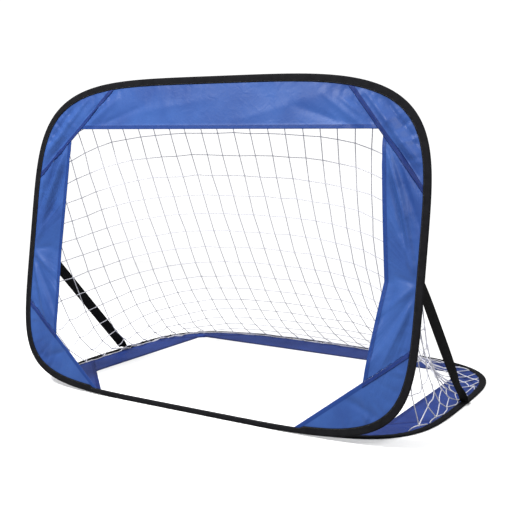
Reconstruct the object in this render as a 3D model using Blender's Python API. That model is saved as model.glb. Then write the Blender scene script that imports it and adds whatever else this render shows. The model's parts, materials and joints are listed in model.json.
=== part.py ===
"""Pop-up hockey goal.

Two loops of flat spring steel run in folded fabric sleeves. One loop lies on the floor and the
other stands up from the goal line, where the two sleeves are sewn side by side and hinge. Seven
hemmed fabric panels fill the rim of each loop, a knotted net is strung between the loops, and a
webbing strap on each side stops the upright loop when it springs open.

The origin is the middle of the goal line, on the underside of the floor sleeve. X points right,
Y points into the goal and Z up.
"""

import math

import bmesh
import bpy
import numpy as np

# ---------------------------------------------------------------- driving dimensions (metres)

CLEARANCE = 0.0003             # play between pieces that touch

FRONT_HALF_WIDTH = 0.600       # upright loop, outside of its sleeve
FRONT_LENGTH = 0.863
FRONT_NEAR_POWER = 5.36        # squareness of the corners: 2 is an ellipse
FRONT_FAR_POWER = 4.31
FRONT_LEAN = math.radians(8.3) # backwards, when the straps are taut

BASE_HALF_WIDTH = 0.585        # floor loop, outside of its sleeve
BASE_LENGTH = 0.885
BASE_NEAR_POWER = 4.15
BASE_FAR_POWER = 3.67

OUTLINE_STEPS = 80             # stretches round each loop

WIRE_WIDTH = 0.0030            # flat spring steel, across the plane of its loop
WIRE_THICKNESS = 0.0010
WIRE_END_GAP = 0.0006
FERRULE_WALL = 0.0004
FERRULE_LENGTH = 0.024
CRIMP_DEPTH = 0.00015
CRIMP_COUNT = 3

TAPE_THICKNESS = 0.0005        # woven tape of the sleeves
SLEEVE_WIDTH = 0.0195
GOAL_LINE_SLEEVE_WIDTH = 0.0140
SLEEVE_STEP = 0.014            # length over which the sleeve changes width

PANEL_THICKNESS = 0.0007
HEM_THICKNESS = 0.0012
HEM_WIDTH = 0.010
SEAM_TAPE_WIDTH = 0.013
SEAM_TAPE_THICKNESS = 0.0004

FRONT_SIDE_BAND = 0.128        # from the outside of the upright loop to its open mouth
FRONT_TOP_BAND = 0.136
FRONT_GUSSET_HEIGHT = 0.147    # where a bottom corner panel meets the side band
FRONT_GUSSET_REACH = 0.314     # where it ends on the goal line, in from the side of the loop
BASE_SIDE_BAND = 0.117
BASE_REAR_BAND = 0.145
BASE_GUSSET_HEIGHT = 0.180
BASE_GUSSET_REACH = 0.295
CORNER_CUT = 0.021             # how far a far corner panel cuts the corner of the opening

HINGE_HEIGHT = 0.0090          # of the fold above the floor
HINGE_GAP = 0.0026             # from the fold to the floor sleeve

NET_COLUMNS = 23               # cells across
NET_ROWS = 20                  # cells from the top down to the rear
NET_CORD = 0.0020
NET_TOP_INSET = 0.045          # ends of its top edge, in from the side of the upright loop
NET_REAR_INSET = 0.165         # ends of its rear edge, in from the side of the floor loop
NET_SIDE_START = 0.120         # its sides leave the front and reach the floor this far from the goal line
NET_FRONT_SHARE = 0.60         # share of the rows that end on the upright loop
NET_ROW_PULL = 0.65            # tension of the rows against that of the columns

STRAP_WIDTH = 0.025
STRAP_THICKNESS = 0.0012
STRAP_FRONT_HEIGHT = 0.365     # its middle, along the upright loop
STRAP_FLOOR_REACH = 0.455      # its middle, back from the goal line
STRAP_TOP_TAB = 0.0075         # length sewn slantwise across the upright sleeve
STRAP_TOP_INSET = 0.30         # where that starts, as a share of the sleeve's width
STRAP_TURN = 0.004             # reach of the fold from that tab into the free run
STRAP_FOOT_TAB = 0.025         # length sewn along the floor sleeve
STRAP_FOOT_INSET = 0.0085      # its middle, in from the sleeve's outer edge
STRAP_STEPS = 2                # stretches between two of the points that a strap is drawn through

# The free run of a strap: how far along each point is, and how far turned there, from on edge to flat.
STRAP_RUN = ((0.012, 0.0), (0.05, 0.0), (0.2, 0.0), (0.5, 0.0), (0.8, 0.5), (0.93, 0.8), (0.98, 1.0))
# Its foot tab: how far along each point is, in tab lengths from the middle, and its lift in thicknesses.
STRAP_LANDING = ((-0.5, 1.0), (-0.2, 0.0), (0.5, 0.0))

# ---------------------------------------------------------------- sizes that follow from them

SLEEVE_NOSE = 2 * TAPE_THICKNESS
SLEEVE_HOLLOW = SLEEVE_NOSE + CLEARANCE
WIRE_CENTRE = SLEEVE_HOLLOW + CLEARANCE + FERRULE_WALL + CLEARANCE + WIRE_THICKNESS / 2
FERRULE_RADIAL = WIRE_THICKNESS + 2 * (CLEARANCE + FERRULE_WALL)
FERRULE_AXIAL = WIRE_WIDTH + 2 * (CLEARANCE + FERRULE_WALL)
SLEEVE_HALF_HEIGHT = FERRULE_AXIAL / 2 + CLEARANCE + TAPE_THICKNESS
PANEL_EDGE = WIRE_CENTRE + FERRULE_RADIAL / 2 + 2 * CLEARANCE
SLEEVE_LIP = HEM_THICKNESS / 2 + CLEARANCE + TAPE_THICKNESS
BASE_WIRE_RISE = SLEEVE_HALF_HEIGHT - SLEEVE_LIP
SEAM_TAPE_FOOT = HEM_THICKNESS / 2 + CLEARANCE
BASE_Y = -GOAL_LINE_SLEEVE_WIDTH / 2
HINGE_Y = BASE_Y - HINGE_GAP


def clear_scene():
    """Remove what the file holds already."""
    for obj in list(bpy.data.objects):
        bpy.data.objects.remove(obj, do_unlink=True)


def make_material(name, colour, roughness, metallic=0.0):
    """Plain Principled finish."""
    material = bpy.data.materials.new(name)
    material.use_nodes = True
    shader = material.node_tree.nodes["Principled BSDF"]
    shader.inputs["Base Color"].default_value = (*colour, 1.0)
    shader.inputs["Roughness"].default_value = roughness
    shader.inputs["Metallic"].default_value = metallic
    return material


def make_object(name, points, faces, material, parent):
    """One closed body from points and faces, with its faces turned out."""
    mesh = bpy.data.meshes.new(name)
    mesh.from_pydata([tuple(float(value) for value in point) for point in points], [], faces)
    work = bmesh.new()
    work.from_mesh(mesh)
    bmesh.ops.recalc_face_normals(work, faces=work.faces)
    work.to_mesh(mesh)
    work.free()
    mesh.materials.append(material)
    obj = bpy.data.objects.new(name, mesh)
    bpy.context.collection.objects.link(obj)
    obj.parent = parent
    return obj


def make_frame(name, location, tilt):
    """Empty that carries one loop: x to the right, y along the loop, z square to it."""
    frame = bpy.data.objects.new(name, None)
    frame.location = location
    frame.rotation_euler = (tilt, 0.0, 0.0)
    bpy.context.collection.objects.link(frame)
    return frame


# ---------------------------------------------------------------- outline of a loop

class Loop:
    """Outline of one loop in its own plane, and the sizes that shape its rim."""

    def __init__(self, name, half_width, length, powers, bands, gusset, wire_rise, start, tape_side,
                 ends):
        self.name = name
        self.half_width = half_width
        self.length = length
        self.near_power, self.far_power = powers
        side_band, self.far_band = bands
        gusset_reach, self.gusset_height = gusset
        self.opening_half_width = half_width - side_band
        self.gusset_foot = half_width - gusset_reach
        self.wire_rise = wire_rise
        self.start = start
        self.tape_side = tape_side
        self.far_name, self.near_name = ends
        self.outline = self.make_outline()
        self.normals = self.make_normals(self.outline)

    def point_at(self, angle):
        """Point of the outline: straight sides and round corners in one formula."""
        across, along = math.cos(angle), math.sin(angle)
        power = self.far_power if along > 0 else self.near_power
        x = math.copysign(abs(across) ** (2 / power), across) * self.half_width
        y = math.copysign(abs(along) ** (2 / power), along) * self.length / 2
        return x, y + self.length / 2 + self.start

    def make_outline(self):
        """Points anticlockwise from the goal line, with four more where the sleeve changes width."""
        step = 2 * math.pi / OUTLINE_STEPS
        angles = [-math.pi / 2 + (index + 0.5) * step for index in range(OUTLINE_STEPS)]
        for x in (self.step_x(), self.step_x() + SLEEVE_STEP):
            angle = math.acos((x / self.half_width) ** (self.near_power / 2))
            angles += [-angle, angle - math.pi + 2 * math.pi]
        turned = sorted((angle + math.pi / 2) % (2 * math.pi) for angle in angles)
        return np.array([self.point_at(angle - math.pi / 2) for angle in turned])

    def step_x(self):
        """Where a bottom corner panel comes out of the goal line's sleeve."""
        slope = (self.opening_half_width - self.gusset_foot) / self.gusset_height
        return self.gusset_foot + slope * GOAL_LINE_SLEEVE_WIDTH

    @staticmethod
    def make_normals(outline):
        """Unit directions into the loop."""
        ahead = np.roll(outline, -1, axis=0) - outline
        behind = outline - np.roll(outline, 1, axis=0)
        ahead /= np.linalg.norm(ahead, axis=1)[:, None]
        behind /= np.linalg.norm(behind, axis=1)[:, None]
        along = ahead + behind
        along /= np.linalg.norm(along, axis=1)[:, None]
        return np.stack([-along[:, 1], along[:, 0]], axis=1)

    def inset(self, distance):
        """Outline moved into the loop."""
        return self.outline + distance * self.normals

    def sleeve_width(self, x, y):
        """Narrow along the goal line, where no panel is held."""
        near = y - self.start < self.length / 4
        narrow = near and abs(x) < self.step_x() + SLEEVE_STEP / 2
        return GOAL_LINE_SLEEVE_WIDTH if narrow else SLEEVE_WIDTH

    def crossing(self, axis, value, distance):
        """Point on the right of an inset outline with a given y (axis 1), or x on the far run (axis 0)."""
        half = [point for point in self.inset(distance) if point[0] > 0]
        if axis == 0:
            half = [point for point in half if point[1] > self.start + self.length / 2]
        half.sort(key=lambda point: point[axis])
        other = np.interp(value, [point[axis] for point in half], [point[1 - axis] for point in half])
        return np.array([value, other]) if axis == 0 else np.array([other, value])


# ---------------------------------------------------------------- sleeves, wires and ferrules

def sweep(sections, closed):
    """Points and faces of sections joined in order, as a ring or with flat ends."""
    count = len(sections[0])
    points = [point for section in sections for point in section]
    faces = []
    spans = len(sections) if closed else len(sections) - 1
    for span in range(spans):
        first = span * count
        second = (span + 1) % len(sections) * count
        for side in range(count):
            after = (side + 1) % count
            faces.append((first + side, second + side, second + after, first + after))
    if not closed:
        last = (len(sections) - 1) * count
        faces.append(tuple(reversed(range(count))))
        faces.append(tuple(range(last, last + count)))
    return points, faces


def sleeve_profile(width, rise):
    """Tape folded round the wire: outer skin, then inner skin, as (inward, square) points."""
    shoulder = PANEL_EDGE - CLEARANCE
    top = SLEEVE_HALF_HEIGHT
    skin = TAPE_THICKNESS
    outer = [(width, SLEEVE_LIP), (shoulder, rise + top), (SLEEVE_NOSE, rise + top), (0.0, rise),
             (SLEEVE_NOSE, rise - top), (shoulder, rise - top), (width, -SLEEVE_LIP)]
    inner = [(width, -SLEEVE_LIP + skin), (shoulder, rise - top + skin),
             (SLEEVE_HOLLOW, rise - top + skin), (skin, rise), (SLEEVE_HOLLOW, rise + top - skin),
             (shoulder, rise + top - skin), (width, SLEEVE_LIP - skin)]
    return outer + inner


def place_profile(point, normal, profile):
    """A profile's points in the loop's frame."""
    return [(point[0] + normal[0] * inward, point[1] + normal[1] * inward, square)
            for inward, square in profile]


def make_sleeve(loop, material, parent):
    """Closed ring of folded tape, open along its inner edge where the panels enter."""
    sections = []
    for point, normal in zip(loop.outline, loop.normals):
        profile = sleeve_profile(loop.sleeve_width(*point), loop.wire_rise)
        sections.append(place_profile(point, normal, profile))
    return make_object(f"{loop.name}_sleeve", *sweep(sections, True), material, parent)


def rectangle(centre, inward, square, rise):
    """Four points of a rectangle across the wire."""
    return [(centre + side * inward / 2, rise + up * square / 2)
            for side, up in ((-1, -1), (1, -1), (1, 1), (-1, 1))]


def make_wire(loop, material, parent):
    """Loop of flat steel whose two ends meet in the ferrule on the goal line."""
    profile = rectangle(WIRE_CENTRE, WIRE_THICKNESS, WIRE_WIDTH, loop.wire_rise)
    ends = [((side * WIRE_END_GAP / 2, loop.outline[0][1]), (0.0, 1.0)) for side in (1, -1)]
    frames = [ends[0], *zip(loop.outline, loop.normals), ends[1]]
    sections = [place_profile(point, normal, profile) for point, normal in frames]
    return make_object(f"{loop.name}_spring_wire", *sweep(sections, False), material, parent)


def make_ferrule(loop, material, parent):
    """Crimped tube over the wire's two ends."""
    y = loop.outline[0][1]
    stations = 2 * CRIMP_COUNT + 1
    sections = []
    for index in range(2 * stations):
        out_and_back = index if index < stations else 2 * stations - 1 - index
        x = FERRULE_LENGTH * (out_and_back / (stations - 1) - 0.5)
        if index < stations:
            pinch = CRIMP_DEPTH if out_and_back % 2 else 0.0
            size = (FERRULE_RADIAL - 2 * pinch, FERRULE_AXIAL - 2 * pinch)
        else:
            size = (WIRE_THICKNESS + 2 * CLEARANCE, WIRE_WIDTH + 2 * CLEARANCE)
        profile = rectangle(WIRE_CENTRE, *size, loop.wire_rise)
        sections.append(place_profile((x, y), (0.0, 1.0), profile))
    return make_object(f"{loop.name}_wire_ferrule", *sweep(sections, True), material, parent)


# ---------------------------------------------------------------- fabric panels

def clip(polygon, point, direction):
    """Part of a convex polygon on the side of a line that a direction points to."""
    kept = []
    for index, here in enumerate(polygon):
        there = polygon[(index + 1) % len(polygon)]
        depth_here = float(np.dot(np.subtract(here, point), direction))
        depth_there = float(np.dot(np.subtract(there, point), direction))
        if depth_here >= 0:
            kept.append(tuple(here))
        if (depth_here > 0 > depth_there) or (depth_here < 0 < depth_there):
            share = depth_here / (depth_here - depth_there)
            kept.append(tuple(np.add(here, share * np.subtract(there, here))))
    return kept


def shift(line, distance):
    """A line, as a point and a unit direction, moved along that direction."""
    point, direction = line
    return (point[0] + direction[0] * distance, point[1] + direction[1] * distance), direction


def turned(line):
    """The same line, facing the other way."""
    point, direction = line
    return point, (-direction[0], -direction[1])


def rim_lines(loop, side):
    """Edges of the opening and the two corner seams of one side, facing the outside of the rim."""
    opening_x = side * loop.opening_half_width
    opening_y = loop.start + loop.length - loop.far_band
    diagonal = math.sqrt(0.5)
    run = loop.opening_half_width - loop.gusset_foot
    slant = math.hypot(run, loop.gusset_height)
    return {
        "side": ((opening_x, loop.start), (side, 0.0)),
        "far": ((0.0, opening_y), (0.0, 1.0)),
        "far_corner": ((opening_x - side * CORNER_CUT, opening_y), (side * diagonal, diagonal)),
        "near_corner": ((opening_x, loop.start + loop.gusset_height),
                        (side * loop.gusset_height / slant, -run / slant)),
    }


def hemmed_panel(name, polygon, hem_line, material, parent):
    """Flat panel whose free edge is turned over: a plain part and a thicker hem, as one body."""
    fold = shift(hem_line, HEM_WIDTH)
    plain = clip(polygon, *fold)
    hem = clip(polygon, *turned(fold))
    low, high = PANEL_THICKNESS / 2, HEM_THICKNESS / 2
    points, found, faces = [], {}, []

    def vertex(place, height):
        key = (round(place[0], 7), round(place[1], 7), round(height, 7))
        if key not in found:
            found[key] = len(points)
            points.append((place[0], place[1], height))
        return found[key]

    def on_fold(place):
        return abs(float(np.dot(np.subtract(place, fold[0]), fold[1]))) < 1e-7

    for outline, thick in ((plain, low), (hem, high)):
        faces.append([vertex(place, thick) for place in outline])
        faces.append([vertex(place, -thick) for place in reversed(outline)])
        for index, here in enumerate(outline):
            there = outline[(index + 1) % len(outline)]
            if on_fold(here) and on_fold(there):
                if thick == high:
                    for foot, edge in ((low, high), (-low, -high)):
                        faces.append([vertex(here, foot), vertex(there, foot),
                                      vertex(there, edge), vertex(here, edge)])
                continue
            up = [vertex(there, height) for height in wall_heights(on_fold(there), low, thick)]
            down = [vertex(here, height) for height in wall_heights(on_fold(here), low, thick)]
            faces.append(up + down[::-1])
    return make_object(name, points, faces, material, parent)


def wall_heights(at_fold, low, thick):
    """Heights of a wall's corner points, with the plain part's too where the hem starts."""
    return [-thick, -low, low, thick] if at_fold and thick > low else [-thick, thick]


def make_panels(loop, material, tape_material, parent):
    """Far band, two side bands, four corner panels, and the tape along each corner seam."""
    rim = [tuple(point) for point in loop.inset(PANEL_EDGE)]
    inside_sleeve = [tuple(point) for point in loop.inset(SLEEVE_WIDTH + CLEARANCE)]
    half_seam = CLEARANCE / 2
    left, right = rim_lines(loop, -1), rim_lines(loop, 1)

    band = clip(rim, *right["far"])
    for lines in (left, right):
        band = clip(band, *shift(turned(lines["far_corner"]), half_seam))
    hemmed_panel(f"{loop.name}_{loop.far_name}_band", band, right["far"], material, parent)

    for side_name, lines in (("left", left), ("right", right)):
        band = clip(rim, *lines["side"])
        for corner in ("far_corner", "near_corner"):
            band = clip(band, *shift(turned(lines[corner]), half_seam))
        hemmed_panel(f"{loop.name}_{side_name}_band", band, lines["side"], material, parent)

        for corner, corner_name in (("far_corner", loop.far_name), ("near_corner", loop.near_name)):
            edge = shift(lines[corner], half_seam)
            hemmed_panel(f"{loop.name}_{corner_name}_{side_name}_corner", clip(rim, *edge), edge,
                         material, parent)
            tape = clip(clip(inside_sleeve, *edge), *turned(shift(edge, SEAM_TAPE_WIDTH)))
            if corner == "near_corner":
                tape = clip(tape, *lines["side"])
            make_tape(f"{loop.name}_{corner_name}_{side_name}_seam_tape", tape, loop.tape_side,
                      tape_material, parent)


def make_tape(name, outline, side, material, parent):
    """Flat tape sewn over a seam, on the side of the fabric that the net doesn't touch."""
    levels = (side * SEAM_TAPE_FOOT, side * (SEAM_TAPE_FOOT + SEAM_TAPE_THICKNESS))
    sections = [[(x, y, level) for x, y in outline] for level in levels]
    return make_object(name, *sweep(sections, False), material, parent)


# ---------------------------------------------------------------- knotted net

def along_path(path, shares):
    """Points at shares of a path's length."""
    lengths = np.linalg.norm(np.diff(path, axis=0), axis=1)
    marks = np.concatenate([[0.0], np.cumsum(lengths)])
    return np.stack([np.interp(np.asarray(shares) * marks[-1], marks, path[:, axis])
                     for axis in range(path.shape[1])], axis=1)


def side_path(loop, distance, first, last):
    """Inset outline on the right, from y equal to first up to x equal to last on the far run."""
    points = [point for point in loop.inset(distance) if point[0] > last and point[1] > first]
    points.sort(key=lambda point: math.atan2(point[1] - loop.start - loop.length / 2, point[0]))
    start = loop.crossing(1, first, distance)
    end = loop.crossing(0, last, distance)
    return np.array([start, *points, end])


def net_edges(front, base, place_front, place_base):
    """Places of the net's outer knots: top, both sides and rear."""
    distance = SLEEVE_WIDTH + CLEARANCE + NET_CORD / 2
    columns = np.linspace(-1.0, 1.0, NET_COLUMNS + 1)
    knots = np.zeros((NET_ROWS + 1, NET_COLUMNS + 1, 3))

    top_spread = front.half_width - NET_TOP_INSET
    rear_spread = base.half_width - NET_REAR_INSET
    for row, loop, spread, place in ((0, front, top_spread, place_front),
                                     (NET_ROWS, base, rear_spread, place_base)):
        for column, share in enumerate(columns):
            x = share * spread
            y = loop.crossing(0, abs(x), distance)[1]
            knots[row, column] = place(x, y)

    turn = round(NET_ROWS * NET_FRONT_SHARE)
    down = side_path(front, distance, front.start + NET_SIDE_START, top_spread)[::-1]
    back = side_path(base, distance, base.start + NET_SIDE_START, rear_spread)
    upright = along_path(down, np.arange(turn + 1) / turn)
    rest = NET_ROWS - turn
    floor = along_path(back, np.arange(rest + 1) / rest)
    for row in range(1, NET_ROWS):
        x, y = upright[row] if row <= turn else floor[row - turn]
        place = place_front if row <= turn else place_base
        knots[row, -1] = place(x, y)
        knots[row, 0] = place(-x, y)
    return knots


def hang_net(knots):
    """Move the inner knots to where the pulls of their four cords balance."""
    rows, columns = knots.shape[:2]
    number = np.arange(rows * columns).reshape(rows, columns)
    pulls = np.zeros((rows * columns, rows * columns))
    pairs = [(number[1:-1, :-1], number[1:-1, 1:], NET_ROW_PULL),
             (number[:-1, 1:-1], number[1:, 1:-1], 1.0)]
    for firsts, seconds, pull in pairs:
        for first, second in zip(firsts.ravel(), seconds.ravel()):
            pulls[first, first] += pull
            pulls[second, second] += pull
            pulls[first, second] -= pull
            pulls[second, first] -= pull
    free = number[1:-1, 1:-1].ravel()
    fixed = np.setdiff1d(number.ravel(), free)
    flat = knots.reshape(-1, 3)
    flat[free] = np.linalg.solve(pulls[np.ix_(free, free)], -pulls[np.ix_(free, fixed)] @ flat[fixed])
    return flat.reshape(rows, columns, 3)


def unit(vector):
    """Vector of length one."""
    return vector / np.linalg.norm(vector)


def knot_normal(knots, row, column):
    """Direction square to the net at a knot."""
    rows, columns = knots.shape[:2]
    across = knots[row, min(column + 1, columns - 1)] - knots[row, max(column - 1, 0)]
    down = knots[min(row + 1, rows - 1), column] - knots[max(row - 1, 0), column]
    return unit(np.cross(down, across))


def side_step(normal, ahead, behind):
    """From a knot to where the near sides of its two cords, half a cord off their middles, meet."""
    first = unit(np.cross(ahead, normal))
    second = unit(np.cross(normal, behind))
    return (first + second) / (1 + np.dot(first, second)) * NET_CORD / 2


def make_net(knots, material):
    """Net as one body: cords of diamond section that run into each other at the knots."""
    rows, columns = knots.shape[:2]
    points, faces = [], []

    def add(place):
        points.append(place)
        return len(points) - 1

    upper = np.zeros((rows, columns), dtype=int)
    lower = np.zeros((rows, columns), dtype=int)
    for row in range(rows):
        for column in range(columns):
            square = knot_normal(knots, row, column) * NET_CORD / 2
            upper[row, column] = add(knots[row, column] + square)
            lower[row, column] = add(knots[row, column] - square)

    def cord_faces(start, end, start_side, end_side):
        faces.extend([(upper[start], upper[end], end_side), (upper[start], end_side, start_side),
                      (lower[end], lower[start], start_side), (lower[end], start_side, end_side)])

    for row in range(rows - 1):
        for column in range(columns - 1):
            corners = [(row, column), (row, column + 1), (row + 1, column + 1), (row + 1, column)]
            inner = []
            for index, corner in enumerate(corners):
                ahead = knots[corners[(index + 1) % 4]] - knots[corner]
                behind = knots[corners[index - 1]] - knots[corner]
                step = side_step(knot_normal(knots, *corner), ahead, behind)
                inner.append(add(knots[corner] + step))
            for index, corner in enumerate(corners):
                after = (index + 1) % 4
                cord_faces(corner, corners[after], inner[index], inner[after])

    edge = [(0, column) for column in range(columns)]
    edge += [(row, columns - 1) for row in range(1, rows)]
    edge += [(rows - 1, column) for column in range(columns - 2, -1, -1)]
    edge += [(row, 0) for row in range(rows - 2, 0, -1)]
    outer = []
    for index, place in enumerate(edge):
        ahead = knots[edge[(index + 1) % len(edge)]] - knots[place]
        behind = knots[edge[index - 1]] - knots[place]
        outer.append(add(knots[place] + side_step(-knot_normal(knots, *place), ahead, behind)))
    for index, place in enumerate(edge):
        after = (index + 1) % len(edge)
        cord_faces(edge[after], place, outer[after], outer[index])
    return make_object("net", points, faces, material, None)


# ---------------------------------------------------------------- side straps

def smooth_path(controls, steps):
    """Catmull-Rom curve through control points, with a number of steps between two of them."""
    controls = np.array(controls)
    padded = np.vstack([2 * controls[0] - controls[1], controls, 2 * controls[-1] - controls[-2]])
    places = []
    for span in range(len(controls) - 1):
        a, b, c, d = padded[span:span + 4]
        for index in range(steps):
            t = index / steps
            places.append(0.5 * (2 * b + (c - a) * t + (2 * a - 5 * b + 4 * c - d) * t ** 2
                                 + (3 * b - 3 * c + d - a) * t ** 3))
    places.append(controls[-1])
    return np.array(places)


def strap_points(side, front, base, place_front, place_base):
    """Points that a strap is drawn through, each with how far the strap has turned flat there."""
    def lie(loop):
        return loop.wire_rise + SLEEVE_HALF_HEIGHT + CLEARANCE + STRAP_THICKNESS / 2

    foot_x, foot_y = base.crossing(1, base.start + STRAP_FLOOR_REACH, STRAP_FOOT_INSET)
    foot = [(place_base(side * foot_x, foot_y + STRAP_FOOT_TAB * share, lie(base) + STRAP_THICKNESS * lift),
             1.0) for share, lift in STRAP_LANDING]

    # The tab slants so that folding it back in line with the upright sleeve points it at the foot.
    top_x, top_y = front.crossing(1, front.start + STRAP_FRONT_HEIGHT, 0.0)
    up_front = place_front(0.0, 1.0) - place_front(0.0, 0.0)
    run = unit(foot[0][0] - place_front(side * top_x, top_y))
    upward = np.dot(run, up_front)
    slope = upward / math.sqrt(1.0 - upward ** 2)
    start = SLEEVE_WIDTH * STRAP_TOP_INSET
    end = start + STRAP_TOP_TAB
    top, before, rise = [], (start, 0.0), 0.0
    for here in ((start, 0.0), ((start + end) / 2, 0.0), (end, 0.0),
                 (end + STRAP_TURN * 0.7, STRAP_TURN * 0.3), (end + STRAP_TURN, STRAP_TURN)):
        rise += slope * math.dist(before, here)
        inward, lift = before = here
        top.append((place_front(side * (top_x - inward), top_y + rise, lie(front) + lift), 0.0))

    first, last = top[-1][0], foot[0][0]
    return [*top, *[(first + (last - first) * share, turn) for share, turn in STRAP_RUN], *foot]


def make_strap(name, marks, material):
    """Ribbon of webbing: across the back of the upright sleeve, then twisting to lie along the floor one."""
    on_edge = np.array([0.0, math.sin(FRONT_LEAN), math.cos(FRONT_LEAN)])
    flat = np.array([math.copysign(1.0, marks[0][0][0]), 0.0, 0.0])
    path = smooth_path([place for place, turn in marks], STRAP_STEPS)
    widths = smooth_path([on_edge * (1 - turn) + flat * turn for place, turn in marks], STRAP_STEPS)
    sections = []
    for index, (place, width) in enumerate(zip(path, widths)):
        tangent = unit(path[min(index + 1, len(path) - 1)] - path[max(index - 1, 0)])
        square = np.cross(tangent, unit(width))
        thick = unit(square) * STRAP_THICKNESS / 2
        wide = unit(width) / np.linalg.norm(square) * STRAP_WIDTH / 2
        sections.append([place - wide - thick, place + wide - thick,
                         place + wide + thick, place - wide + thick])
    points, faces = sweep(sections, False)
    return make_object(name, points, parallel_halves(faces), material, None)


def parallel_halves(faces):
    """Quads of a ribbon cut in two, along lines that match on its two wide faces."""
    halves = []
    for index, face in enumerate(faces[:-2]):
        a, b, c, d = face
        halves += [(a, b, c), (a, c, d)] if index % 4 < 2 else [(a, b, d), (b, c, d)]
    return halves + faces[-2:]


# ---------------------------------------------------------------- the goal

def main():
    clear_scene()
    tape = make_material("sleeve_tape", (0.012, 0.012, 0.014), 0.75)
    cloth = make_material("panel_cloth", (0.075, 0.17, 0.50), 0.45)
    seam = make_material("seam_cloth", (0.045, 0.09, 0.30), 0.5)
    cord = make_material("net_cord", (0.80, 0.80, 0.82), 0.7)
    webbing = make_material("strap_webbing", (0.01, 0.01, 0.012), 0.8)
    steel = make_material("spring_steel", (0.45, 0.46, 0.48), 0.3, 1.0)
    crimp = make_material("ferrule_metal", (0.65, 0.66, 0.68), 0.35, 1.0)

    front = Loop("front", FRONT_HALF_WIDTH, FRONT_LENGTH, (FRONT_NEAR_POWER, FRONT_FAR_POWER),
                 (FRONT_SIDE_BAND, FRONT_TOP_BAND), (FRONT_GUSSET_REACH, FRONT_GUSSET_HEIGHT),
                 0.0, -HINGE_HEIGHT, 1, ("top", "bottom"))
    base = Loop("base", BASE_HALF_WIDTH, BASE_LENGTH, (BASE_NEAR_POWER, BASE_FAR_POWER),
                (BASE_SIDE_BAND, BASE_REAR_BAND), (BASE_GUSSET_REACH, BASE_GUSSET_HEIGHT),
                BASE_WIRE_RISE, 0.0, -1, ("rear", "goal_line"))

    hinge = make_frame("front_fold_frame", (0.0, HINGE_Y, HINGE_HEIGHT), math.pi / 2 - FRONT_LEAN)
    floor = make_frame("base_frame", (0.0, BASE_Y, SLEEVE_LIP), 0.0)

    for loop, frame in ((front, hinge), (base, floor)):
        make_wire(loop, steel, frame)
        make_ferrule(loop, crimp, frame)
        make_sleeve(loop, tape, frame)
        make_panels(loop, cloth, seam, frame)

    net_lift = HEM_THICKNESS / 2 + CLEARANCE + NET_CORD / 2
    sine, cosine = math.sin(FRONT_LEAN), math.cos(FRONT_LEAN)

    def place_front(x, y, behind=net_lift):
        return np.array([x, HINGE_Y + y * sine + behind * cosine,
                         HINGE_HEIGHT + y * cosine - behind * sine])

    def place_base(x, y, above=net_lift):
        return np.array([x, BASE_Y + y, SLEEVE_LIP + above])

    make_net(hang_net(net_edges(front, base, place_front, place_base)), cord)
    for side, name in ((-1, "strap_left"), (1, "strap_right")):
        make_strap(name, strap_points(side, front, base, place_front, place_base), webbing)


main()
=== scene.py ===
"""Looks of a pop-up goal: two sprung fabric hoops that fold on each other, with a knotted net between them."""

import json
from math import atan2, ceil, cos, dist, hypot, pi, radians, sin, sqrt

import bmesh
import bpy
import numpy as np
from mathutils import Euler, Matrix, Vector
from numpy.linalg import norm


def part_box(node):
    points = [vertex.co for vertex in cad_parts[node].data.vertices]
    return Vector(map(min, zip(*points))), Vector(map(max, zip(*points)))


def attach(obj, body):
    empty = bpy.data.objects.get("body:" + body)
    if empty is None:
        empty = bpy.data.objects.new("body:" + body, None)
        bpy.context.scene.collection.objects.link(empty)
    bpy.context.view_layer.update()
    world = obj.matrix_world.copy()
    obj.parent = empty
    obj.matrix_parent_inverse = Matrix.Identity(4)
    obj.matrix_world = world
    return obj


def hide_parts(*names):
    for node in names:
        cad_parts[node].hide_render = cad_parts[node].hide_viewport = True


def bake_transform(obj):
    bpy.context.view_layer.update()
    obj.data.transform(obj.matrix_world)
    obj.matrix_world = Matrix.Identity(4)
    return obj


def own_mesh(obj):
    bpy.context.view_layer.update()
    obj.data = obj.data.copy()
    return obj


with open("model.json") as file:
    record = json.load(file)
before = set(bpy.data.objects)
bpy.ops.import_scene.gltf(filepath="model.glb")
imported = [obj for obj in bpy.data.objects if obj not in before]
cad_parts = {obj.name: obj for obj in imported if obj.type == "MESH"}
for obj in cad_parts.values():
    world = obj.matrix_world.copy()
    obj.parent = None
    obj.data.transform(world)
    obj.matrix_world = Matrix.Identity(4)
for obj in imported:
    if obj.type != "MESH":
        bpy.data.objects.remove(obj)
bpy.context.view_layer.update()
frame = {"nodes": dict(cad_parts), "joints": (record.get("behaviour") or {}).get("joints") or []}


# ---------------------------------------------------------------- camera
# Stands in front of the goal and to its right, a little below the height of
# its top, with a long lens, so that the floor hoop shows through the mouth.

CAMERA_PLACE = (1.2555, -1.774, 0.6875)
CAMERA_TURN = radians(30.93)
CAMERA_DIP = radians(7.46)
CAMERA_ROLL = radians(0.37)
LENS_MM = 61.31


def add_object(name, data):
    """A new object in the scene."""
    thing = bpy.data.objects.new(name, data)
    bpy.context.collection.objects.link(thing)
    return thing


camera = add_object("camera", bpy.data.cameras.new("camera"))
camera.data.lens = LENS_MM
aim = Euler((pi / 2 - CAMERA_DIP, 0.0, CAMERA_TURN)).to_matrix().to_4x4()
camera.matrix_world = Matrix.Translation(CAMERA_PLACE) @ aim @ Matrix.Rotation(CAMERA_ROLL, 4, "Z")
bpy.context.scene.camera = camera


# ---------------------------------------------------------------- spring wires and ferrules
# Flat spring steel, bent into a loop inside each sleeve, with its two ends
# held in a crimped metal tube. They keep the solids' own shape.

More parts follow.
